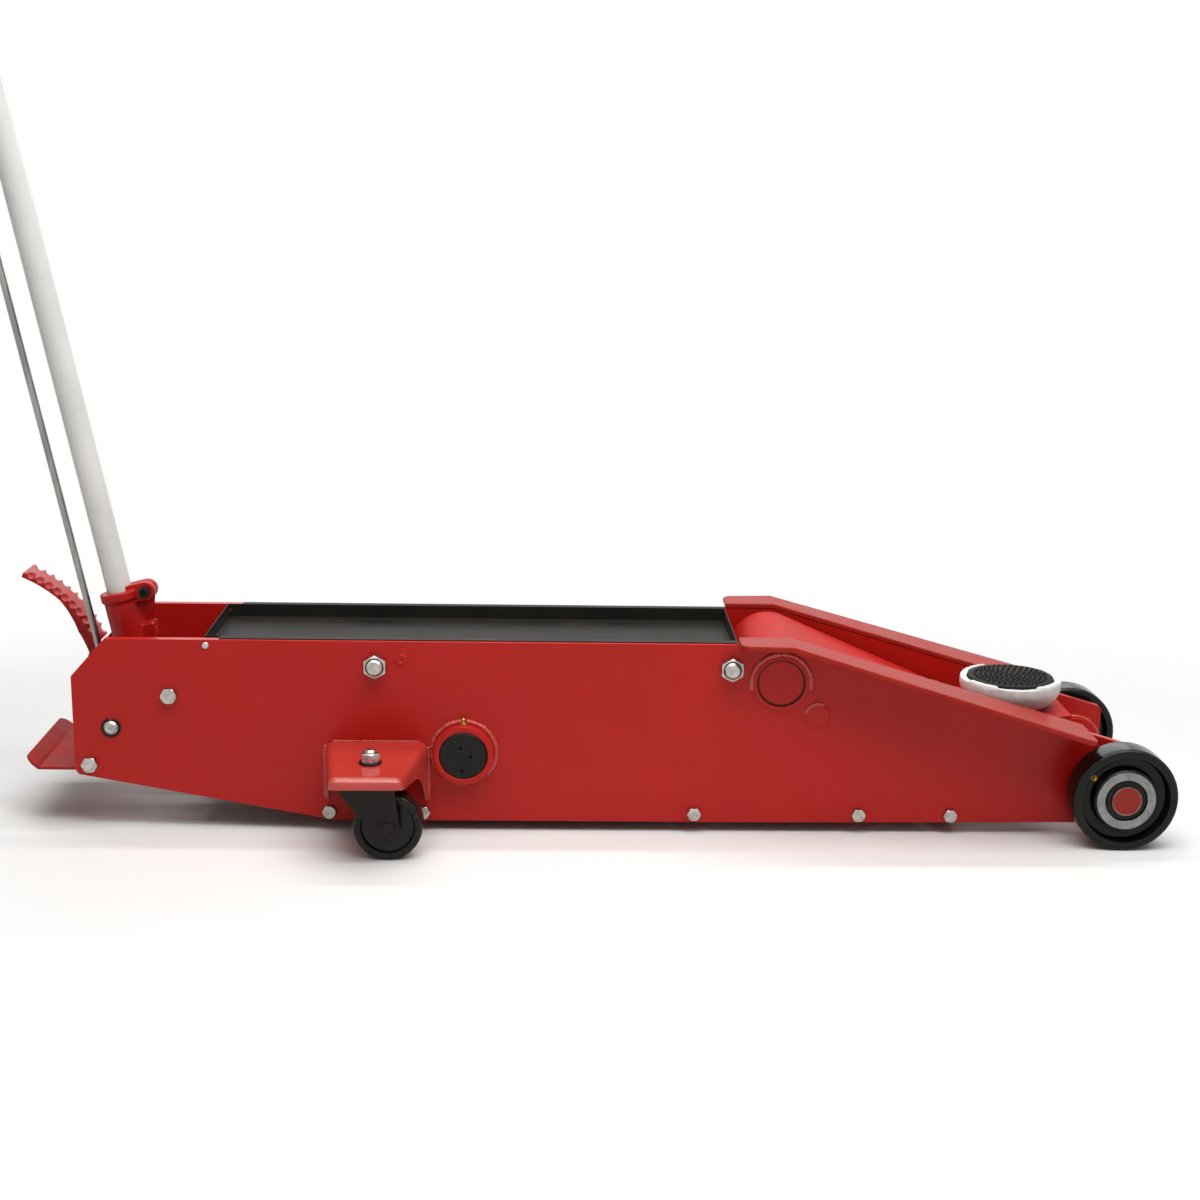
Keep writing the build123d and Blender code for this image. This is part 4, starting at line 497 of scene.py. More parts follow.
# A ring in the joint round the lift shaft's end, painted nearly black: partly oily dirt, partly painted
# shade.
lift_grease_and_shade = turned(
    "right_lift_dirt",
    [(GREASE_AND_SHADE_R[0], -0.5), (GREASE_AND_SHADE_R[0], 0.1), (GREASE_AND_SHADE_R[1], 0.3), (GREASE_AND_SHADE_R[1], -0.5), (GREASE_AND_SHADE_R[0], -0.5)],
)
put(lift_grease_and_shade, (lift_axis.x, PLATE_FACE, lift_axis.z), (90, 0, 0))
both_sides(lift_grease_and_shade, grease_and_painted_shade, "chassis", "black_oxide")

lift_drops = round_drops(lift_axis, r=42.6, start=-8, end=190, gap=4.6)
lift_weld = weld_bead("right_lift_weld", lift_drops, size=8.4, seed=11)
both_sides(lift_weld, thick_enamel_with_painted_sheen, "chassis", "red_paint")

level_low, level_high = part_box("levelling_pins")
level_axis = (level_low + level_high) / 2
level_r = (level_high.x - level_low.x) / 2 / MM
level_cap = turned(
    "right_levelling_cap",
    [(0, -0.5), (level_r, -0.5), (level_r, PIN_PROUD - 0.7), (level_r - 0.8, PIN_PROUD), (0, PIN_PROUD)],
)
put(level_cap, (level_axis.x, PLATE_FACE, level_axis.z), (90, 0, 0))
both_sides(level_cap, red_enamel, "chassis", "red_paint")
# A thin ring round each levelling cap, painted nearly black: partly oily dirt, partly painted shade under its
# edge.
level_grease_and_shade = turned(
    "right_levelling_dirt",
    [
        (level_r - 0.2, -0.5), (level_r - 0.2, 0.1), (level_r + 0.3, 0.1), (level_r + 0.3, -0.5),
        (level_r - 0.2, -0.5),
    ],
)
put(level_grease_and_shade, (level_axis.x, PLATE_FACE, level_axis.z), (90, 0, 0))
both_sides(level_grease_and_shade, grease_and_painted_shade, "chassis", "black_oxide")
level_drops = round_drops(level_axis, r=level_r + 1.0, start=70, end=165, gap=4.0)
level_weld = weld_bead("right_levelling_weld", level_drops, size=6.4, seed=12)
both_sides(level_weld, thick_enamel_with_painted_sheen, "chassis", "red_paint")

# Plug weld: a round hole in the side plate that was filled with weld over the cross bar behind it. It stands
# a little proud with a dimple in the middle, and is painted over.
PLUG_WELD_AT = (-0.1747, 0.254)
plug_weld = turned(
    "right_plug_weld", [(0, 0.6), (2.4, 0.9), (3.6, 1.9), (6.2, 2.2), (8.4, 1.4), (9.6, -0.3), (0, -0.3)], 32
)
put(plug_weld, (PLUG_WELD_AT[0], PLATE_FACE, PLUG_WELD_AT[1]), (90, 0, 0))
both_sides(plug_weld, red_enamel, "chassis", "red_paint")

# Tie rods: threaded bars through both side plates, drawn up by a forged nut at each end. Zinc plated like the
# bolts, with the chamfered end of the thread standing out of the nut.
TIE_NUT_ACROSS = 30.0
TIE_NUT_H = 16.0
NUT_FACE = 0.475
NUT_SHARP = radians(28)
TIE_ROD_R = 12.0
THREAD_PITCH = 2.5
THREADS_SHOWN = 7


def hex_nut(name, across, height, bore):
    """A nut that stands on the origin, with the corners of its faces turned off at 30 degrees."""
    corner = across / sqrt(3)
    face_r = NUT_FACE * across
    fall = (corner - face_r) / sqrt(3)
    turning = turned(
        "nut_turning",
        [
            (bore, 1), (bore + 1, 0), (face_r, 0), (corner, fall), (corner, height - fall), (face_r, height),
            (bore + 1.2, height), (bore, height - 1.2), (bore, 1),
        ],
        48,
    )
    bpy.ops.object.select_all(action="DESELECT")
    bpy.ops.mesh.primitive_cylinder_add(
        vertices=6, radius=(corner - 0.05) * MM, depth=2 * height * MM, location=(0, 0, height / 2 * MM)
    )
    nut = bpy.context.object
    nut.name = name
    bpy.ops.object.transform_apply(location=True, rotation=True, scale=True)
    chamfer = nut.modifiers.new("turned_corners", "BOOLEAN")
    chamfer.operation = "INTERSECT"
    chamfer.object = turning
    bpy.ops.object.modifier_apply(modifier=chamfer.name)
    bpy.data.objects.remove(turning)
    bpy.ops.object.shade_smooth_by_angle(angle=NUT_SHARP)
    return nut


def joined(piece, *others):
    """Join other objects into a piece."""
    select_only(piece)
    for other in others:
        other.select_set(True)
    bpy.ops.object.join()
    return piece


def thread_end(r, end, count):
    """Outline of the end of a threaded bar: crests and roots up to a chamfer at the end."""
    start = end - 2 - count * THREAD_PITCH
    crests = []
    for at in range(count):
        z = start + at * THREAD_PITCH
        crests += [(r - 0.9, z), (r, z + THREAD_PITCH / 2)]
    return [*crests, (r - 0.9, end - 2), (r - 0.4, end - 1.8), (r - 2.2, end), (0, end)]


rod_low, rod_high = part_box("tie_rods")
rod_half = rod_high.y / MM
nut_corner = TIE_NUT_ACROSS / sqrt(3) * MM
rod_z = (rod_low.z + rod_high.z) / 2
for name, x in (("rear_tie_rod", rod_low.x + nut_corner), ("front_tie_rod", rod_high.x - nut_corner)):
    half_rod = [
        (0, 0), (TIE_ROD_R - 0.05, 0), (TIE_ROD_R - 0.05, -PLATE_FACE / MM),
        *thread_end(TIE_ROD_R - 0.6, rod_half, THREADS_SHOWN),
    ]
    rod = put(turned(name, half_rod, 48), (x, 0, rod_z), (90, 0, 0))
    nut = hex_nut("nut", TIE_NUT_ACROSS, TIE_NUT_H, TIE_ROD_R + 0.15)
    joined(rod, put(nut, (x, PLATE_FACE, rod_z), (90, 0, 0)))
    both_sides(rod, zinc_plate, "chassis", "zinc_plate", "tie_rods")

# Trunnion: the hydraulic unit hangs on stub shafts in bosses that are welded to the side plates all round.
# The shaft ends are blackened, and a brass grease nipple stands on each boss in a gap of the weld.
BOSS_EDGE = 0.8
BOSS_WELD_OUT = 2.2
SPANNER_HOLES = ((-3.9, 11.7), (10.2, -0.8), (-2.2, -22.3))
SPANNER_HOLE_R = 2.6
SPANNER_HOLE_DEPTH = 5.0
NIPPLE_HEX_R = 4.4
NIPPLE_HEX_H = 3.6
NIPPLE_OUT = 9.0

# Black oxide: an oily black with a low shine, rubbed to dark grey in specks.
black_oxide = surface(
    "black_oxide", ("100f0d", "1c1a17"), 12, (0.3, 0.48), 1.2, 0.05, marks=("34302b", 6, 0.12),
    shader={"Specular IOR Level": 0.18},
)

# Turned brass: a yellow metal with a soft shine that is duller in places.
yellow_brass = surface(
    "turned_brass", ("a67f2c", "c79f48"), 3, (0.25, 0.4), 0.8, 0.02, shader={"Metallic": 1.0}
)
eased("trunnion_bosses", BOSS_EDGE, red_enamel)

boss_low, boss_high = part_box("trunnion_bosses")
trunnion_axis = (boss_low + boss_high) / 2
boss_r = (boss_high.x - boss_low.x) / 2 / MM
for name, start, end, seed in (
    ("right_trunnion_weld", -40, 82, 13), ("right_trunnion_rear_weld", 98, 230, 14)
):
    boss_drops = round_drops(trunnion_axis, boss_r + BOSS_WELD_OUT, start, end, gap=4.8)
    both_sides(weld_bead(name, boss_drops, size=9.0, seed=seed), thick_enamel_with_painted_sheen, "chassis", "red_paint")


def cut_out(piece, cutter):
    """Cut one object out of a closed piece, which stays closed, and remove it."""
    select_only(piece)
    hollow = piece.modifiers.new("hollow", "BOOLEAN")
    hollow.solver = "MANIFOLD"
    hollow.operation = "DIFFERENCE"
    hollow.object = cutter
    bpy.ops.object.modifier_apply(modifier=hollow.name)
    bpy.data.objects.remove(cutter)


def grease_nipple(name):
    """A hexagon base with a necked head, standing on the origin."""
    nipple = turned(
        name,
        [
            (0, -1), (2.4, -1), (2.4, NIPPLE_HEX_H), (2.0, 5.2), (1.9, 6.0), (2.6, 6.8), (3.2, 7.8),
            (3.1, 8.8), (2.3, 9.7), (1.1, 10), (0.8, 9.6), (0, 9.6),
        ],
        24,
    )
    bpy.ops.object.select_all(action="DESELECT")
    bpy.ops.mesh.primitive_cylinder_add(
        vertices=6, radius=NIPPLE_HEX_R * MM, depth=NIPPLE_HEX_H * MM, location=(0, 0, NIPPLE_HEX_H * MM / 2)
    )
    bpy.ops.object.transform_apply(location=True, rotation=True, scale=True)
    bpy.ops.object.mode_set(mode="EDIT")
    bpy.ops.mesh.select_all(action="SELECT")
    bpy.ops.mesh.bevel(offset=0.4 * MM, segments=2, affect="EDGES")
    bpy.ops.object.mode_set(mode="OBJECT")
    nipple.select_set(True)
    bpy.context.view_layer.objects.active = nipple
    bpy.ops.object.join()
    return nipple


shaft_low, shaft_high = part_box("trunnion_shafts")
shaft_r = (shaft_high.x - shaft_low.x) / 2 / MM
shaft_l = (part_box("trunnion_block")[0].y - shaft_low.y) / MM
trunnion_shaft = turned(
    "right_trunnion_shaft",
    [
        (0, 0), (shaft_r - 0.05, 0), (shaft_r - 0.05, shaft_l - 1.6), (shaft_r - 1.5, shaft_l - 0.2),
        (shaft_r - 2.6, shaft_l - 0.4), (7.0, shaft_l - 0.4), (6.5, shaft_l), (0, shaft_l),
    ],
)
put(trunnion_shaft, (trunnion_axis.x, shaft_low.y + shaft_l * MM, trunnion_axis.z), (90, 0, 0))
for across, up in SPANNER_HOLES:
    bpy.ops.object.select_all(action="DESELECT")
    bpy.ops.mesh.primitive_cylinder_add(
        vertices=16, radius=SPANNER_HOLE_R * MM, depth=2 * SPANNER_HOLE_DEPTH * MM, rotation=(pi / 2, 0, 0),
        location=(trunnion_axis.x + across * MM, shaft_low.y, trunnion_axis.z + up * MM),
    )
    cut_out(trunnion_shaft, bpy.context.object)
bpy.ops.object.shade_smooth_by_angle(angle=TURNED_SHARP)
both_sides(trunnion_shaft, black_oxide, "chassis", SLOT_OF["trunnion_shafts"], "trunnion_shafts")
nipple_place = (trunnion_axis.x, PLATE_FACE - NIPPLE_OUT * MM, boss_high.z)
nipple = put(grease_nipple("right_trunnion_nipple"), nipple_place)
both_sides(nipple, yellow_brass, "chassis", "machined_steel")

# Front axle: a steel bar through the side plates, inside a tube with a collar welded to each plate. Its ends
# are painted red, and the paint is worn to bare steel round their rims.
CLIP_EDGE = 0.3
COLLAR_WELD_R = 39.2
WORN_FROM = 22.2
WORN_TO = 23.4
WORN_PATCH = 6
WORN_RAGGED = 5
axle_low, axle_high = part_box("front_axle")
axle_axis = (axle_low + axle_high) / 2
coat(red_enamel, "axle_sleeves")
collar_drops = round_drops(axle_axis, COLLAR_WELD_R, start=128, end=470, gap=4.4, y=PLATE_INSIDE)
collar_weld = weld_bead("right_collar_weld", collar_drops, size=7.0, seed=15)
both_sides(collar_weld, thick_enamel_with_painted_sheen, "chassis", "red_paint")
eased("circlips", CLIP_EDGE, black_oxide)

# Worn enamel: red in the middle of the axle's end, with a ragged edge to scratched grey steel.
worn_enamel = bpy.data.materials.new("red_enamel_worn_to_steel")
worn_enamel.use_nodes = True
tree = worn_enamel.node_tree
tree.nodes.clear()
place = add_node(tree, "TexCoord").outputs["Object"]
about_axle = add_node(tree, "Mapping", {"Vector": place, "Location": -axle_axis, "Scale": (1, 0, 1)})
from_axle = add_node(tree, "VectorMath", {0: about_axle.outputs["Vector"]}, operation="LENGTH")
ragged = add_node(tree, "TexNoise", {"Vector": place, "Scale": 1 / (WORN_PATCH * MM), "Detail": 5.0})
ragged = add_node(
    tree, "Math", {0: ragged.outputs["Fac"], 1: WORN_RAGGED * MM, 2: from_axle.outputs["Value"]},
    operation="MULTIPLY_ADD",
)
bare = add_node(
    tree, "MapRange", {"Value": ragged.outputs[0], "From Min": WORN_FROM * MM, "From Max": WORN_TO * MM}
)
colour = add_node(
    tree, "Mix", {0: bare.outputs[0], 6: linear("8a2a24"), 7: linear("8f8983")}, data_type="RGBA"
)
sheen = add_node(tree, "MapRange", {"Value": bare.outputs[0], "To Min": 0.45, "To Max": 0.34})
coating = add_node(
    tree, "BsdfPrincipled",
    {
        "Base Color": colour.outputs[2], "Roughness": sheen.outputs[0], "Metallic": bare.outputs[0],
        "Specular IOR Level": 0.15,
    },
)
add_node(tree, "OutputMaterial", {"Surface": coating.outputs[0]})
coat(worn_enamel, "front_axle")

# Front wheels: cast iron, turned on the tread and in the bore, with a deep recess in each face. They are
# dipped in gloss black. A bright steel ring is pressed into each hub and a nipple is screwed into the web.
WHEEL_STEPS = 96
WEB_DEPTH = 18.0
RING_EDGE = 0.6
NIPPLE_AT = (52.8, 147.0)

# Dipped gloss black: a wet shine that wavers over the skin of the casting, with a few specks of dust.
gloss_black = surface(
    "dipped_gloss_black", ("0c0b0a", "141211"), 35, (0.1, 0.22), 3, 0.08, marks=("2b2724", 9, 0.08),
    shader={"Specular IOR Level": 0.2},
)

# Bright turned steel: a mid grey metal with a soft, even shine and a few paler spots.
bright_steel = surface(
    "bright_turned_steel", ("747474", "8a8a8a"), 9, (0.24, 0.34), 1.0, 0.015, marks=("a09c97", 5, 0.05),
    shader={"Metallic": 1.0},
)
wheel_low, wheel_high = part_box("right_front_wheel")
wheel_r = (wheel_high.x - wheel_low.x) / 2 / MM
wheel_w = (wheel_high.y - wheel_low.y) / MM
wheel_section = [
    (21.1, 5), (42.2, 5), (42.2, 0.5), (42.7, 0), (44.0, 0), (44.8, 0.8), (46.2, 15.5), (47.4, 17.4),
    (49.5, WEB_DEPTH), (58.0, WEB_DEPTH), (60.0, 17.2), (61.2, 15.2), (62.4, 2.0), (63.0, 0.7), (64.2, 0),
    *arc(wheel_r - 5.5, 5.5, 5.5, -90, 0), (wheel_r, wheel_w / 2),
    *arc(wheel_r - 5.5, wheel_w - 5.5, 5.5, 0, 90), (64.2, wheel_w), (62.4, wheel_w - 1.4),
    (61.4, wheel_w - 10.5), (59.8, wheel_w - 12), (47.2, wheel_w - 12), (45.6, wheel_w - 10.6),
    (44.8, wheel_w - 0.8), (44.0, wheel_w), (21.1, wheel_w), (21.1, 5),
]
wheel = turned("right_wheel_casting", wheel_section, WHEEL_STEPS)
put(wheel, (axle_axis.x, wheel_low.y, axle_axis.z), (-90, 0, 0))
both_sides(wheel, gloss_black, "right_front_wheel", "wheel_black", "right_front_wheel")
eased("right_wheel_ring", RING_EDGE, bright_steel)
eased("left_wheel_ring", RING_EDGE, bright_steel)

nipple_turn = radians(NIPPLE_AT[1])
nipple_place = (
    axle_axis.x + NIPPLE_AT[0] * MM * cos(nipple_turn),
    wheel_low.y + WEB_DEPTH * MM,
    axle_axis.z + NIPPLE_AT[0] * MM * sin(nipple_turn),
)
nipple = put(grease_nipple("right_wheel_nipple"), nipple_place, (90, 0, 0))
both_sides(nipple, yellow_brass, "right_front_wheel", "machined_steel")

# Castor brackets: pressed from 5 mm plate with a rolled front lip, and welded to the side plates down both
# gussets and along the top. A king bolt with a black washer and a plated nut holds each castor.
BRACKET_GRIT = 1.6
BRACKET_PASSES = 14
GUSSET_BEADS = ((-0.2835, 0.052, 0.126), (-0.1368, 0.050, 0.124))
GUSSET_DROP_GAP = 2.6
TOP_BEAD_INSET = 12.0
TOP_BEAD_DROPS = 44
NUT_ACROSS = 24.0
NUT_H = 13.0
NUT_TURN = 12
WASHER_T = 3.0
STUD_R = 7.9
BOLT_HEAD = (13.0, 8.0)


def soften(piece, grit, passes):
    """Round the corners of a piece all over, as pressing, casting and thick paint do."""
    select_only(piece)
    skin = piece.modifiers.new("whole_skin", "REMESH")
    skin.mode = "VOXEL"
    skin.voxel_size = grit * MM
    softened = piece.modifiers.new("softened_corners", "SMOOTH")
    softened.factor = 0.5
    softened.iterations = passes
    bpy.ops.object.modifier_apply(modifier=skin.name)
    bpy.ops.object.modifier_apply(modifier=softened.name)
    bpy.ops.object.shade_smooth()


bracket = merged_copy("right_castor_bracket", "right_pressed_bracket")
soften(bracket, BRACKET_GRIT, BRACKET_PASSES)
both_sides(bracket, thick_enamel_with_painted_sheen, "chassis", "red_paint", "right_castor_bracket")
for number, (x, low_z, high_z) in enumerate(GUSSET_BEADS):
    count = round((high_z - low_z) / (GUSSET_DROP_GAP * MM))
    drops = [(x, PLATE_FACE, low_z + (high_z - low_z) * at / count) for at in range(count + 1)]
    gusset_weld = weld_bead(f"right_gusset_weld_{number}", drops, size=6.4, seed=20 + number)
    both_sides(gusset_weld, thick_enamel_with_painted_sheen, "chassis", "red_paint")
bracket_low, bracket_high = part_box("right_castor_bracket")
bead_x = bracket_low.x + TOP_BEAD_INSET * MM
bead_l = bracket_high.x - bracket_low.x - 2 * TOP_BEAD_INSET * MM
drops = [
    (bead_x + bead_l * at / TOP_BEAD_DROPS, PLATE_FACE, bracket_high.z) for at in range(TOP_BEAD_DROPS + 1)
]
top_weld = weld_bead("right_bracket_weld", drops, size=3.2, seed=23)
both_sides(top_weld, thick_enamel_with_painted_sheen, "chassis", "red_paint")

king_low, king_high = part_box("castor_kingbolts")
king_x = (king_low.x + king_high.x) / 2
king_y = king_low.y + (king_high.x - king_low.x) / 2
king_washer_r = (king_high.x - king_low.x) / 2 / MM
washer_z = bracket_high.z / MM
nut_z = washer_z + WASHER_T
stud_low = king_low.z / MM
stud_high = king_high.z / MM
king_bolt = turned(
    "right_king_bolt",
    [
        (0, stud_low), (BOLT_HEAD[0] - 0.8, stud_low), (BOLT_HEAD[0], stud_low + 0.8),
        (BOLT_HEAD[0], stud_low + BOLT_HEAD[1]), (STUD_R, stud_low + BOLT_HEAD[1]),
        (STUD_R, stud_high - 2.2), (STUD_R - 2.0, stud_high - 0.4), (STUD_R - 2.8, stud_high), (0, stud_high),
    ],
    36,
)
nut = put(hex_nut("nut", NUT_ACROSS, NUT_H, STUD_R + 0.3), (0, 0, nut_z * MM), (0, 0, NUT_TURN))
joined(king_bolt, nut)
put(king_bolt, (king_x, king_y, 0))
both_sides(king_bolt, zinc_plate, "chassis", "zinc_plate", "castor_kingbolts")
washer = turned(
    "right_king_washer",
    [
        (STUD_R + 0.2, washer_z), (king_washer_r - 0.5, washer_z), (king_washer_r, washer_z + 0.6),
        (king_washer_r, nut_z - 0.6), (king_washer_r - 0.5, nut_z), (STUD_R + 0.2, nut_z),
        (STUD_R + 0.2, washer_z),
    ],
    48,
)
put(washer, (king_x, king_y, 0))
both_sides(washer, black_oxide, "chassis", "black_oxide")

# Castors: pressed forks on a ball race, painted black, dusty with use and flecked with painted glints, and
# black tread wheels with a raised hub on a riveted axle.
FORK_EDGE = 0.7
CASTOR_STEPS = 72
CASTOR_HEAD_PROUD = 4.0

# Dusty black paint: brown-black, with a broken shine, and pale specks drawn 3 mm wide so that they show,
# partly grit and partly painted glints of the gloss.
castor_paint = surface(
    "black_paint_with_dust_and_painted_glints", ("120b09", "1f1410"), 25, (0.12, 0.24), 3.5, 0.35, marks=("3a2b25", 3, 0.22),
    shader={"Specular IOR Level": 0.18},
)

# Moulded tread: a hard plain black with the same broken shine, and pale specks that are partly grit and
# partly painted glints.
hard_tread = surface(
    "moulded_black_tread", ("100e0c", "1b1815"), 12, (0.12, 0.24), 3.5, 0.35, marks=("36302b", 3, 0.22),
    shader={"Specular IOR Level": 0.2},
)
eased("right_castor_fork", FORK_EDGE, castor_paint)
eased("left_castor_fork", FORK_EDGE, castor_paint)
castor_low, castor_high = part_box("right_castor_wheel")
castor_axis = (castor_low + castor_high) / 2
castor_r = (castor_high.x - castor_low.x) / 2 / MM
castor_w = (castor_high.y - castor_low.y) / MM
near_face = [
    (6.2, 0), (12.6, 0), (13.8, 0.9), (14.4, 5.6), (16.0, 6.8), (33.5, 6.8), (35.6, 6.2), (37.0, 2.2),
    (38.2, 1.0), (39.6, 0.7), (40.6, 1.4), (41.6, 0.7), *arc(castor_r - 5.2, 5.8, 5.2, -90, 0),
]
far_face = [(r, castor_w - z) for r, z in reversed(near_face)]
castor_section = [*near_face, (castor_r, castor_w / 2), *far_face, near_face[0]]
castor_wheel = turned("right_castor_tread", castor_section, CASTOR_STEPS)
put(castor_wheel, (castor_axis.x, castor_low.y, castor_axis.z), (-90, 0, 0))
both_sides(castor_wheel, hard_tread, "right_castor_wheel", "castor_tread", "right_castor_wheel")
fork_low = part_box("right_castor_fork")[0]
axle_washer = turned(
    "right_castor_washer",
    [(11.1, -0.4), (11.1, 1.6), (14.2, 1.6), (15.2, 0.9), (15.4, -0.4), (11.1, -0.4)], 40,
)
put(axle_washer, (castor_axis.x, fork_low.y + CASTOR_HEAD_PROUD * MM, castor_axis.z), (90, 0, 0))
both_sides(axle_washer, castor_paint, "right_castor_fork", "castor_black")

# Hydraulic unit: a steel cylinder inside a tubular oil tank, a cast trunnion block and pump block, and a
# gland nut. The castings are bare grey iron and the tank is painted dark grey.
BLOCK_EDGE = 1.2

# Sand-cast iron: a dull grey metal with the grain of the sand, drawn 2 mm wide so that it shows.
grey_iron = surface(
    "sand_cast_grey_iron", ("565553", "6f6d69"), 10, (0.5, 0.7), 2.0, 0.15, shader={"Metallic": 0.6}
)

# Machine paint: dark grey with a low shine and darker oil stains.
tank_paint = surface(
    "dark_grey_machine_paint", ("333436", "414244"), 60, (0.35, 0.45), 4, 0.03, marks=("2a2a2b", 15, 0.12)
)

# Machined steel: a light grey metal with fine tool marks that run round the cross shafts.
machined_steel = surface(
    "machined_steel", ("9a9793", "b9b6b1"), 8, (0.25, 0.38), 0.9, 0.03, stretch=(1, 6, 1),
    shader={"Metallic": 1.0},
)
coat(tank_paint, "oil_reservoir", "hydraulic_cylinder")
coat(grey_iron, "trunnion_block", "cylinder_gland")
eased("pump_block", BLOCK_EDGE, grey_iron)
coat(machined_steel, "filler_plug", "release_valve")

# Ram: a hard chrome rod with a steel crosshead that pushes the arm's crank pin. Two long return springs pull
# it back. They are wound from 3 mm wire and reach from the trunnion block to the crosshead.
CROSSHEAD_EDGE = 1.0
RETURN_WIRE = 3.0
RETURN_PITCH = 4.2
COIL_STEPS = 20
WIRE_SHARP = radians(60)

# Hard chrome: close to a mirror, pale and cool.
hard_chrome = surface(
    "hard_chrome", ("c9cbcd", "dcdee0"), 40, (0.06, 0.12), 1.0, 0.005, shader={"Metallic": 1.0}
)

# Oiled spring steel: a dark grey metal with a greasy shine.
spring_steel = surface(
    "oiled_spring_steel", ("45423e", "625e59"), 9, (0.32, 0.48), 1.0, 0.03, shader={"Metallic": 1.0}
)
coat(hard_chrome, "ram_rod")
eased("ram_crosshead", CROSSHEAD_EDGE, machined_steel)


def coil(name, r, wire, length, pitch):
    """A coil of round wire about the X axis, from the origin forwards, with sizes in millimetres."""
    bpy.ops.object.select_all(action="DESELECT")
    bpy.ops.mesh.primitive_circle_add(
        vertices=8, radius=wire / 2 * MM, location=((r - wire / 2) * MM, 0, wire / 2 * MM),
        rotation=(pi / 2, 0, 0),
    )
    spring = bpy.context.object
    spring.name = name
    bpy.ops.object.transform_apply(location=True, rotation=True, scale=True)
    turns = round((length - wire) / pitch)
    winding = spring.modifiers.new("winding", "SCREW")
    winding.axis = "Z"
    winding.iterations = turns
    winding.screw_offset = (length - wire) / turns * MM
    winding.steps = COIL_STEPS
    winding.render_steps = COIL_STEPS
    bpy.ops.object.modifier_apply(modifier=winding.name)
    bpy.ops.object.mode_set(mode="EDIT")
    bpy.ops.mesh.select_all(action="SELECT")
    bpy.ops.mesh.fill_holes(sides=0)
    bpy.ops.mesh.normals_make_consistent(inside=False)
    bpy.ops.object.mode_set(mode="OBJECT")
    bpy.ops.object.shade_smooth_by_angle(angle=WIRE_SHARP)
    return put(spring, (0, 0, 0), (0, 90, 0))


pull_low, pull_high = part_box("return_springs")
pull_r = (pull_high.z - pull_low.z) / 2
for name, y in (("right_return_spring", pull_low.y + pull_r), ("left_return_spring", pull_high.y - pull_r)):
    spring = coil(name, pull_r / MM, RETURN_WIRE, (pull_high.x - pull_low.x) / MM, RETURN_PITCH)
    place = (pull_low.x, y, (pull_low.z + pull_high.z) / 2)
    put(spring, place)
    settle(spring, spring_steel, None, "spring_steel", "return_springs")
    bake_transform(spring)

# Lift arm: two plates on a tubular hub, covered by a bent sheet hood, all welded and painted red. Bare steel
# pins, thrust rings and levelling links complete the linkage.
HOOD_EDGE = 1.2

# Satin enamel: the same red on the pieces that move, rubbed duller by handling.
satin_enamel = surface(
    "rubbed_red_enamel", ("a41813", "b01c16"), 60, (0.5, 0.62), 5, 0.03, marks=("8f1410", 18, 0.06),
    shader={"Specular IOR Level": 0.12},
)
coat(satin_enamel, "right_arm_plate", "left_arm_plate", "arm_hub", "levelling_links")
eased("arm_hood", HOOD_EDGE, satin_enamel)
coat(machined_steel, "arm_pins", "carrier_link_pin", "thrust_spacers")

# Saddle: a red carrier with a level seat plate, and a bowl that spins on it. The bowl is a rough casting,
# painted white, with four shallow notches in its rim. A black rubber pad with rings of nubs lies in it.
SADDLE_STEPS = 160
NOTCH_W = 56.0
NOTCH_DEPTH = 4.4
NOTCH_FLATNESS = 0.12
CAST_LUMP = 9
CAST_DEPTH = 1.3
CAST_LEVEL = 0.55
CAST_SHARP = radians(40)
BOWL_ABOVE_SEAT = 0.3
BOWL_TURN = -4
RIM_ABOVE_CAD = 1.0
PAD_BELOW_CAD = 1.6
NUB_RINGS = ((7.2, 5), (14.6, 11), (22.0, 16), (29.4, 22), (36.8, 27), (44.2, 32), (51.6, 38))
NUB_R = 2.1
NUB_H = 2.3

# White painted casting: a chalky off-white over a lumpy skin, with greyer smudges.
white_casting = surface(
    "white_painted_casting", ("c8c7c3", "d8d7d4"), 14, (0.5, 0.66), 4.0, 0.6, marks=("b9b7b2", 10, 0.1)
)

# Moulded rubber: a matt black that shines little even on the rounded nubs.
nubbed_rubber = surface(
    "moulded_black_rubber", ("1a1816", "242220"), 20, (0.55, 0.7), 1.2, 0.06,
    shader={"Specular IOR Level": 0.1},
)
coat(satin_enamel, "saddle_carrier")
cup_low, cup_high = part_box("saddle_cup")
saddle_axis = (cup_low + cup_high) / 2
cup_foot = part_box("saddle_carrier")[1].z + BOWL_ABOVE_SEAT * MM
rim_h = (cup_high.z - cup_foot) / MM + RIM_ABOVE_CAD
pad_low, pad_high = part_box("saddle_pad")
pad_seat = (pad_low.z - cup_foot) / MM
pad_r = (pad_high.x - pad_low.x) / 2 / MM
stem_end = (cup_low.z - cup_foot) / MM
cup = turned(
    "white_saddle_bowl",
    [
        (0, stem_end), (11.5, stem_end), (12.4, stem_end + 1), (12.4, 0), (44.5, 0),
        *arc(35.75, 38.3, 38.9, -75, -13, 12), (73.9, 33.0), (73.8, rim_h - 6.5), (73.2, rim_h - 3.6),
        (71.8, rim_h - 1.6), (69.6, rim_h - 0.7), (66.8, rim_h - 0.6), (65.0, rim_h - 1.0),
        (64.2, rim_h - 2.2), (64.0, rim_h - 4.0), (64.0, pad_seat), (40.0, pad_seat), (0, pad_seat),
    ],
    SADDLE_STEPS,
)
notch_floor = (rim_h - NOTCH_DEPTH) * MM
bpy.ops.object.mode_set(mode="EDIT")
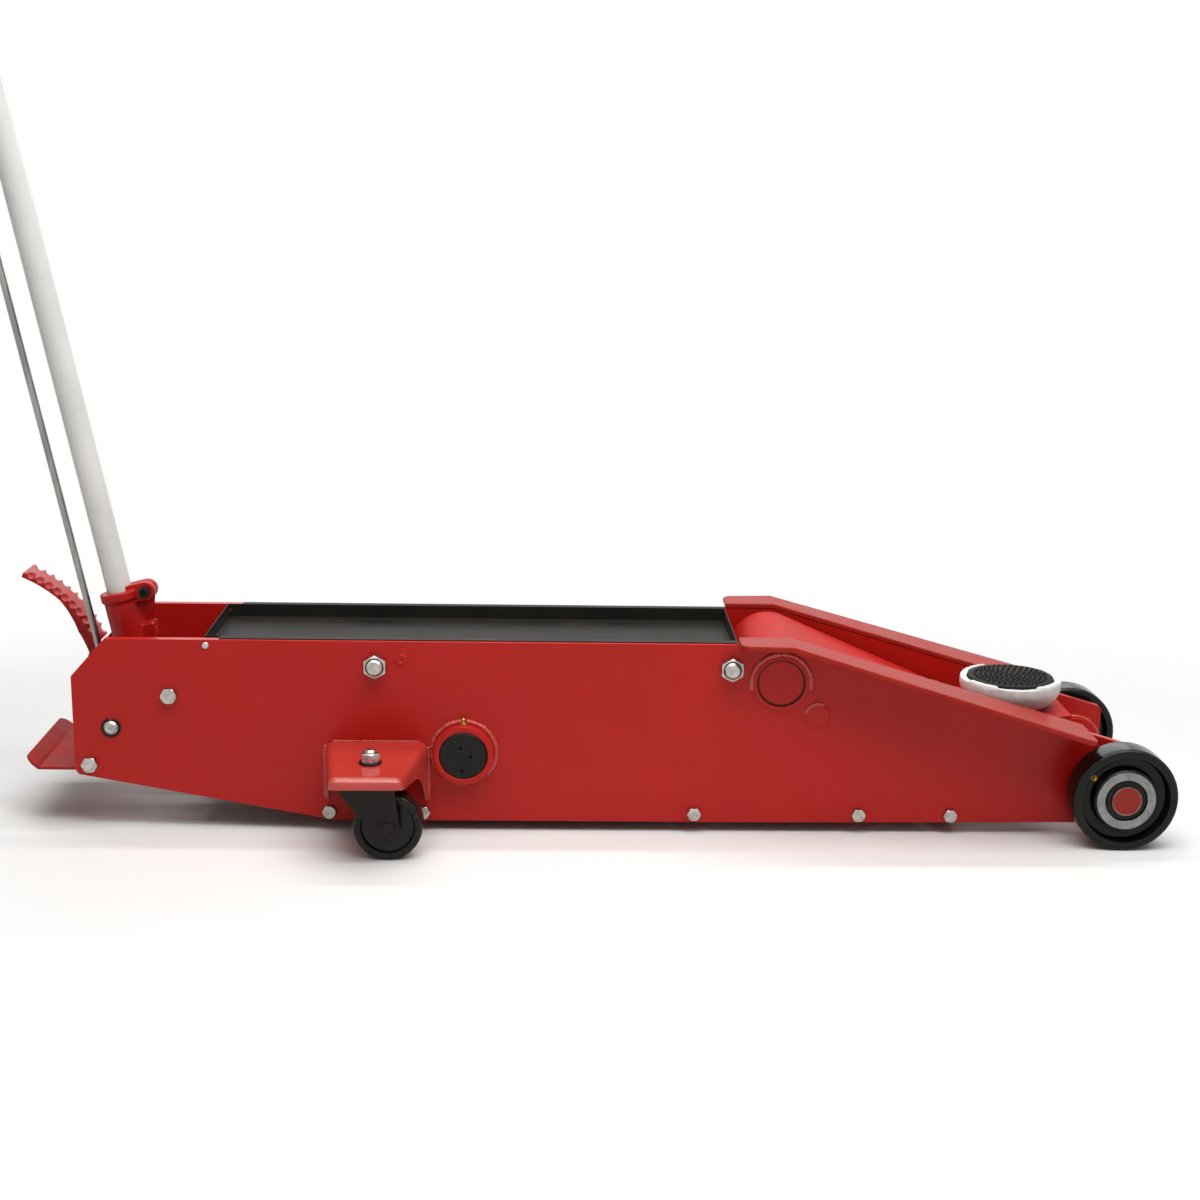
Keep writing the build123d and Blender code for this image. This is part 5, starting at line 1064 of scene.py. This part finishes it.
for across, along in ((0, 1), (1, 0)):
    bpy.ops.mesh.select_all(action="DESELECT")
    bpy.ops.object.mode_set(mode="OBJECT")
    for corner in cup.data.vertices:
        inside = abs(corner.co[across]) < NOTCH_W / 2 * MM and corner.co.z > notch_floor
        corner.select = inside and abs(corner.co[along]) > 0.5 * pad_r * MM
    bpy.ops.object.mode_set(mode="EDIT")
    bpy.ops.transform.resize(value=(1, 1, NOTCH_FLATNESS), center_override=(0, 0, notch_floor))
bpy.ops.object.mode_set(mode="OBJECT")
bpy.ops.object.shade_smooth_by_angle(angle=CAST_SHARP)
rough_skin = bpy.data.textures.new("cast_skin", "CLOUDS")
rough_skin.noise_scale = CAST_LUMP * MM
rough_skin.noise_depth = 3
skin = cup.modifiers.new("cast_skin", "DISPLACE")
skin.texture = rough_skin
skin.texture_coords = "LOCAL"
skin.strength = CAST_DEPTH * MM
skin.mid_level = CAST_LEVEL
select_only(cup)
bpy.ops.object.modifier_apply(modifier=skin.name)
put(cup, (saddle_axis.x, saddle_axis.y, cup_foot), (0, 0, BOWL_TURN))
settle(cup, white_casting, "saddle", "white_casting", "saddle_cup")

pad_top = (pad_high.z - pad_low.z) / MM - PAD_BELOW_CAD - NUB_H
pad = turned(
    "nubbed_saddle_pad",
    [
        (0, 0), (pad_r - 1.2, 0), (pad_r - 0.3, 0.9), (pad_r - 0.2, pad_top - 1.6),
        (pad_r - 0.7, pad_top - 0.5), (pad_r - 1.8, pad_top), (0, pad_top),
    ],
    96,
)
nub = turned("nub", [(NUB_R, -0.3), (NUB_R - 0.1, 1.4), (NUB_R - 0.7, 2.1), (0, NUB_H)], 9)
nubs = []
for ring_r, count in (*NUB_RINGS, (0, 1)):
    for at in range(count):
        turn = tau * at / count
        bump = copy_of(nub, "nub")
        bump.location = (ring_r * MM * cos(turn), ring_r * MM * sin(turn), pad_top * MM)
        nubs.append(bump)
bpy.data.objects.remove(nub)
joined(pad, *nubs)
put(pad, (saddle_axis.x, saddle_axis.y, pad_low.z))
settle(pad, nubbed_rubber, "saddle", "rubber", "saddle_pad")

# Handle: an off-white tube clamped in a red cast socket by a black socket screw, with a cross bar and ribbed
# rubber grips at the top. The socket swings on a plain steel shaft through the side plates.
CASTING_GRIT = 1.4
CASTING_PASSES = 5
SCREW_EDGE = 0.5
GRIP_L = 125.0
GRIP_BORE = 14.05
RIBS_FROM = 7.0
RIBS_SHORT = 14.0
RIB_PITCH = 6.0
RIB_DEPTH = 1.2

# Off-white enamel: smooth and semi-gloss, with faint grey smudges from hands.
white_enamel = surface(
    "off_white_enamel", ("cbc9c5", "d4d2ce"), 70, (0.26, 0.36), 4, 0.02, marks=("bcb9b3", 14, 0.06),
    shader={"Specular IOR Level": 0.4},
)
pivot_low, pivot_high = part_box("handle_pivot_shaft")
pivot_axis = (pivot_low + pivot_high) / 2
pivot_r = (pivot_high.x - pivot_low.x) / 2 / MM
pivot_half = pivot_high.y / MM
pivot_end = [
    (0, 2.4 - pivot_half), (1.6, 2.4 - pivot_half), (2.6, 0.6 - pivot_half), (4.0, 0.5 - pivot_half),
    (4.7, -pivot_half),
]
pivot_shaft = turned(
    "turned_pivot_shaft",
    [
        *pivot_end, (pivot_r - 2.4, -pivot_half), (pivot_r, 2.4 - pivot_half),
        (pivot_r, pivot_half - 2.4), (pivot_r - 2.4, pivot_half), *((r, -z) for r, z in reversed(pivot_end)),
    ],
    48,
)
put(pivot_shaft, pivot_axis, (90, 0, 0))
settle(pivot_shaft, machined_steel, "chassis", "machined_steel", "handle_pivot_shaft")
coat(white_enamel, "handle_tube")
eased("clamp_screw", SCREW_EDGE, black_oxide)

# Painted casting: the same red, thicker and glossier, over the pebbled skin of sand casting.
red_casting = surface(
    "red_enamel_on_casting", ("a01512", "ae1a15"), 30, (0.26, 0.36), 4, 0.12, marks=("8c1310", 12, 0.12),
    shader={"Specular IOR Level": 0.15},
)
socket = merged_copy("handle_socket", "cast_handle_socket")
soften(socket, CASTING_GRIT, CASTING_PASSES)
settle(socket, red_casting, "handle", "red_paint", "handle_socket")
grip_low, grip_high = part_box("handle_grips")
grip_r = (grip_high.x - grip_low.x) / 2 / MM
ribs = []
groove_r = grip_r - RIB_DEPTH
rib_z = RIBS_FROM
while rib_z < GRIP_L - RIBS_SHORT:
    ribs += [(grip_r, rib_z), (grip_r, rib_z + 3.4), (groove_r, rib_z + 4.2), (groove_r, rib_z + 5.2)]
    rib_z += RIB_PITCH
grip = turned(
    "right_ribbed_grip",
    [
        (GRIP_BORE, 0), (grip_r - 1.0, 0), (grip_r, 1.0), (grip_r, 4.5), (groove_r, 5.6), *ribs,
        *arc(grip_r - 4, GRIP_L - 4, 4, 0, 90), (0, GRIP_L), (0, GRIP_L - 5), (GRIP_BORE, GRIP_L - 5),
        (GRIP_BORE, 0),
    ],
    48,
)
grip_axis = (grip_low + grip_high) / 2
put(grip, (grip_axis.x, grip_low.y + GRIP_L * MM, grip_axis.z), (90, 0, 0))
both_sides(grip, nubbed_rubber, "handle", "rubber", "handle_grips")

# Release gear: a trigger below the cross bar, a straight bright rod behind the tube, and a crank that turns
# the release valve. The rod is drawn steel with an eye at each end.

# Drawn steel: a grey metal with long fine scratches along the rod.
drawn_steel = surface(
    "drawn_steel_rod", ("807d7a", "a09d99"), 10, (0.26, 0.4), 1.2, 0.02, marks=("66625e", 7, 0.14),
    stretch=(1, 1, 0.15), shader={"Metallic": 1.0},
)
coat(drawn_steel, "release_rod", "release_trigger")
coat(machined_steel, "release_crank")

# Pump plungers: hardened steel pins that the handle and the pedal push into the pump block. Each is returned
# by a coil spring of 4 mm wire that closes up against the block.
PUMP_WIRE = 4.0
PUMP_PITCH = 9.0
coat(machined_steel, "pump_plunger", "quick_lift_plunger")
for node, joint in (("pump_spring", "pump_stroke"), ("quick_lift_spring", "quick_lift_stroke")):
    push_low, push_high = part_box(node)
    push_r = (push_high.z - push_low.z) / 2
    push_l = push_high.x - push_low.x
    spring = coil("wound_" + node, push_r / MM, PUMP_WIRE, push_l / MM, PUMP_PITCH)
    push_axis = (push_low + push_high) / 2
    put(spring, (push_low.x, push_axis.y, push_axis.z))
    settle(spring, spring_steel, "chassis", "spring_steel", node)
    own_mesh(spring)

# Quick-lift pedal: a red casting that swings on the handle's shaft. Its curved tread has a row of scooped
# hollows along both edges, with crests between them for grip, and its web thins out towards the toe.
TREAD_CENTRE = (-0.813262, 0.162)
TREAD_R = (187.0, 195.0)
TREAD_ARC = (22.3, 67.2)
TREAD_STEPS = 40
HOLLOW_R = 6.8
HOLLOW_REACH = 20.0
HOLLOW_AT = 197.2
HOLLOW_PITCH = 14.5
HOLLOW_STEP = degrees(HOLLOW_PITCH / TREAD_R[1])
HOLLOW_FIRST = 25.3
HOLLOWS = 10
TAPER_R = 149.7
TAPER_AT = (40.0, 85.0)
TAPER_W = 90.0
PEDAL_GRIT = 1.0
PEDAL_PASSES = 4


def on_tread(reach, angle, y):
    """A place so many millimetres from the centre of the tread's arc, at an angle in degrees."""
    turn = radians(angle)
    return (TREAD_CENTRE[0] + reach * MM * cos(turn), y, TREAD_CENTRE[1] + reach * MM * sin(turn))


pedal = merged_copy("quick_lift_pedal", "cast_pedal")
pedal_low, pedal_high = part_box("quick_lift_pedal")
tread_y = (pedal_low.y + pedal_high.y) / 2
bpy.ops.object.select_all(action="DESELECT")
bpy.ops.mesh.primitive_cylinder_add(
    vertices=96, radius=TAPER_R * MM, depth=TAPER_W * MM, rotation=(pi / 2, 0, 0),
    location=on_tread(*TAPER_AT, tread_y),
)
cut_out(pedal, bpy.context.object)

bpy.ops.object.select_all(action="DESELECT")
bpy.ops.mesh.primitive_plane_add(
    size=1, location=on_tread(sum(TREAD_R) / 2, TREAD_ARC[0], tread_y),
    rotation=(0, -radians(TREAD_ARC[0]), 0),
)
tread = bpy.context.object
tread.scale = ((TREAD_R[1] - TREAD_R[0]) * MM, pedal_high.y - pedal_low.y, 1)
bpy.ops.object.transform_apply(location=True, rotation=True, scale=True)
bpy.ops.object.mode_set(mode="EDIT")
bpy.ops.mesh.select_all(action="SELECT")
bpy.ops.mesh.delete(type="ONLY_FACE")
bpy.ops.mesh.select_all(action="SELECT")
bpy.ops.mesh.spin(
    steps=TREAD_STEPS, angle=radians(TREAD_ARC[1] - TREAD_ARC[0]), center=on_tread(0, 0, tread_y),
    axis=(0, 1, 0),
)
bpy.ops.mesh.select_all(action="SELECT")
bpy.ops.mesh.fill_holes(sides=0)
bpy.ops.mesh.normals_make_consistent(inside=False)
bpy.ops.object.mode_set(mode="OBJECT")
for at in range(HOLLOWS):
    angle = HOLLOW_FIRST + at * HOLLOW_STEP
    for edge_y in (pedal_low.y, pedal_high.y):
        for piece in (pedal, tread):
            bpy.ops.object.select_all(action="DESELECT")
            bpy.ops.mesh.primitive_uv_sphere_add(
                segments=24, ring_count=12, location=on_tread(HOLLOW_AT, angle, edge_y),
                scale=(HOLLOW_R * MM, HOLLOW_REACH * MM, HOLLOW_R * MM),
            )
            cut_out(piece, bpy.context.object)
joined(pedal, tread)
soften(pedal, PEDAL_GRIT, PEDAL_PASSES)
settle(pedal, red_casting, "pedal", "red_paint", "quick_lift_pedal")
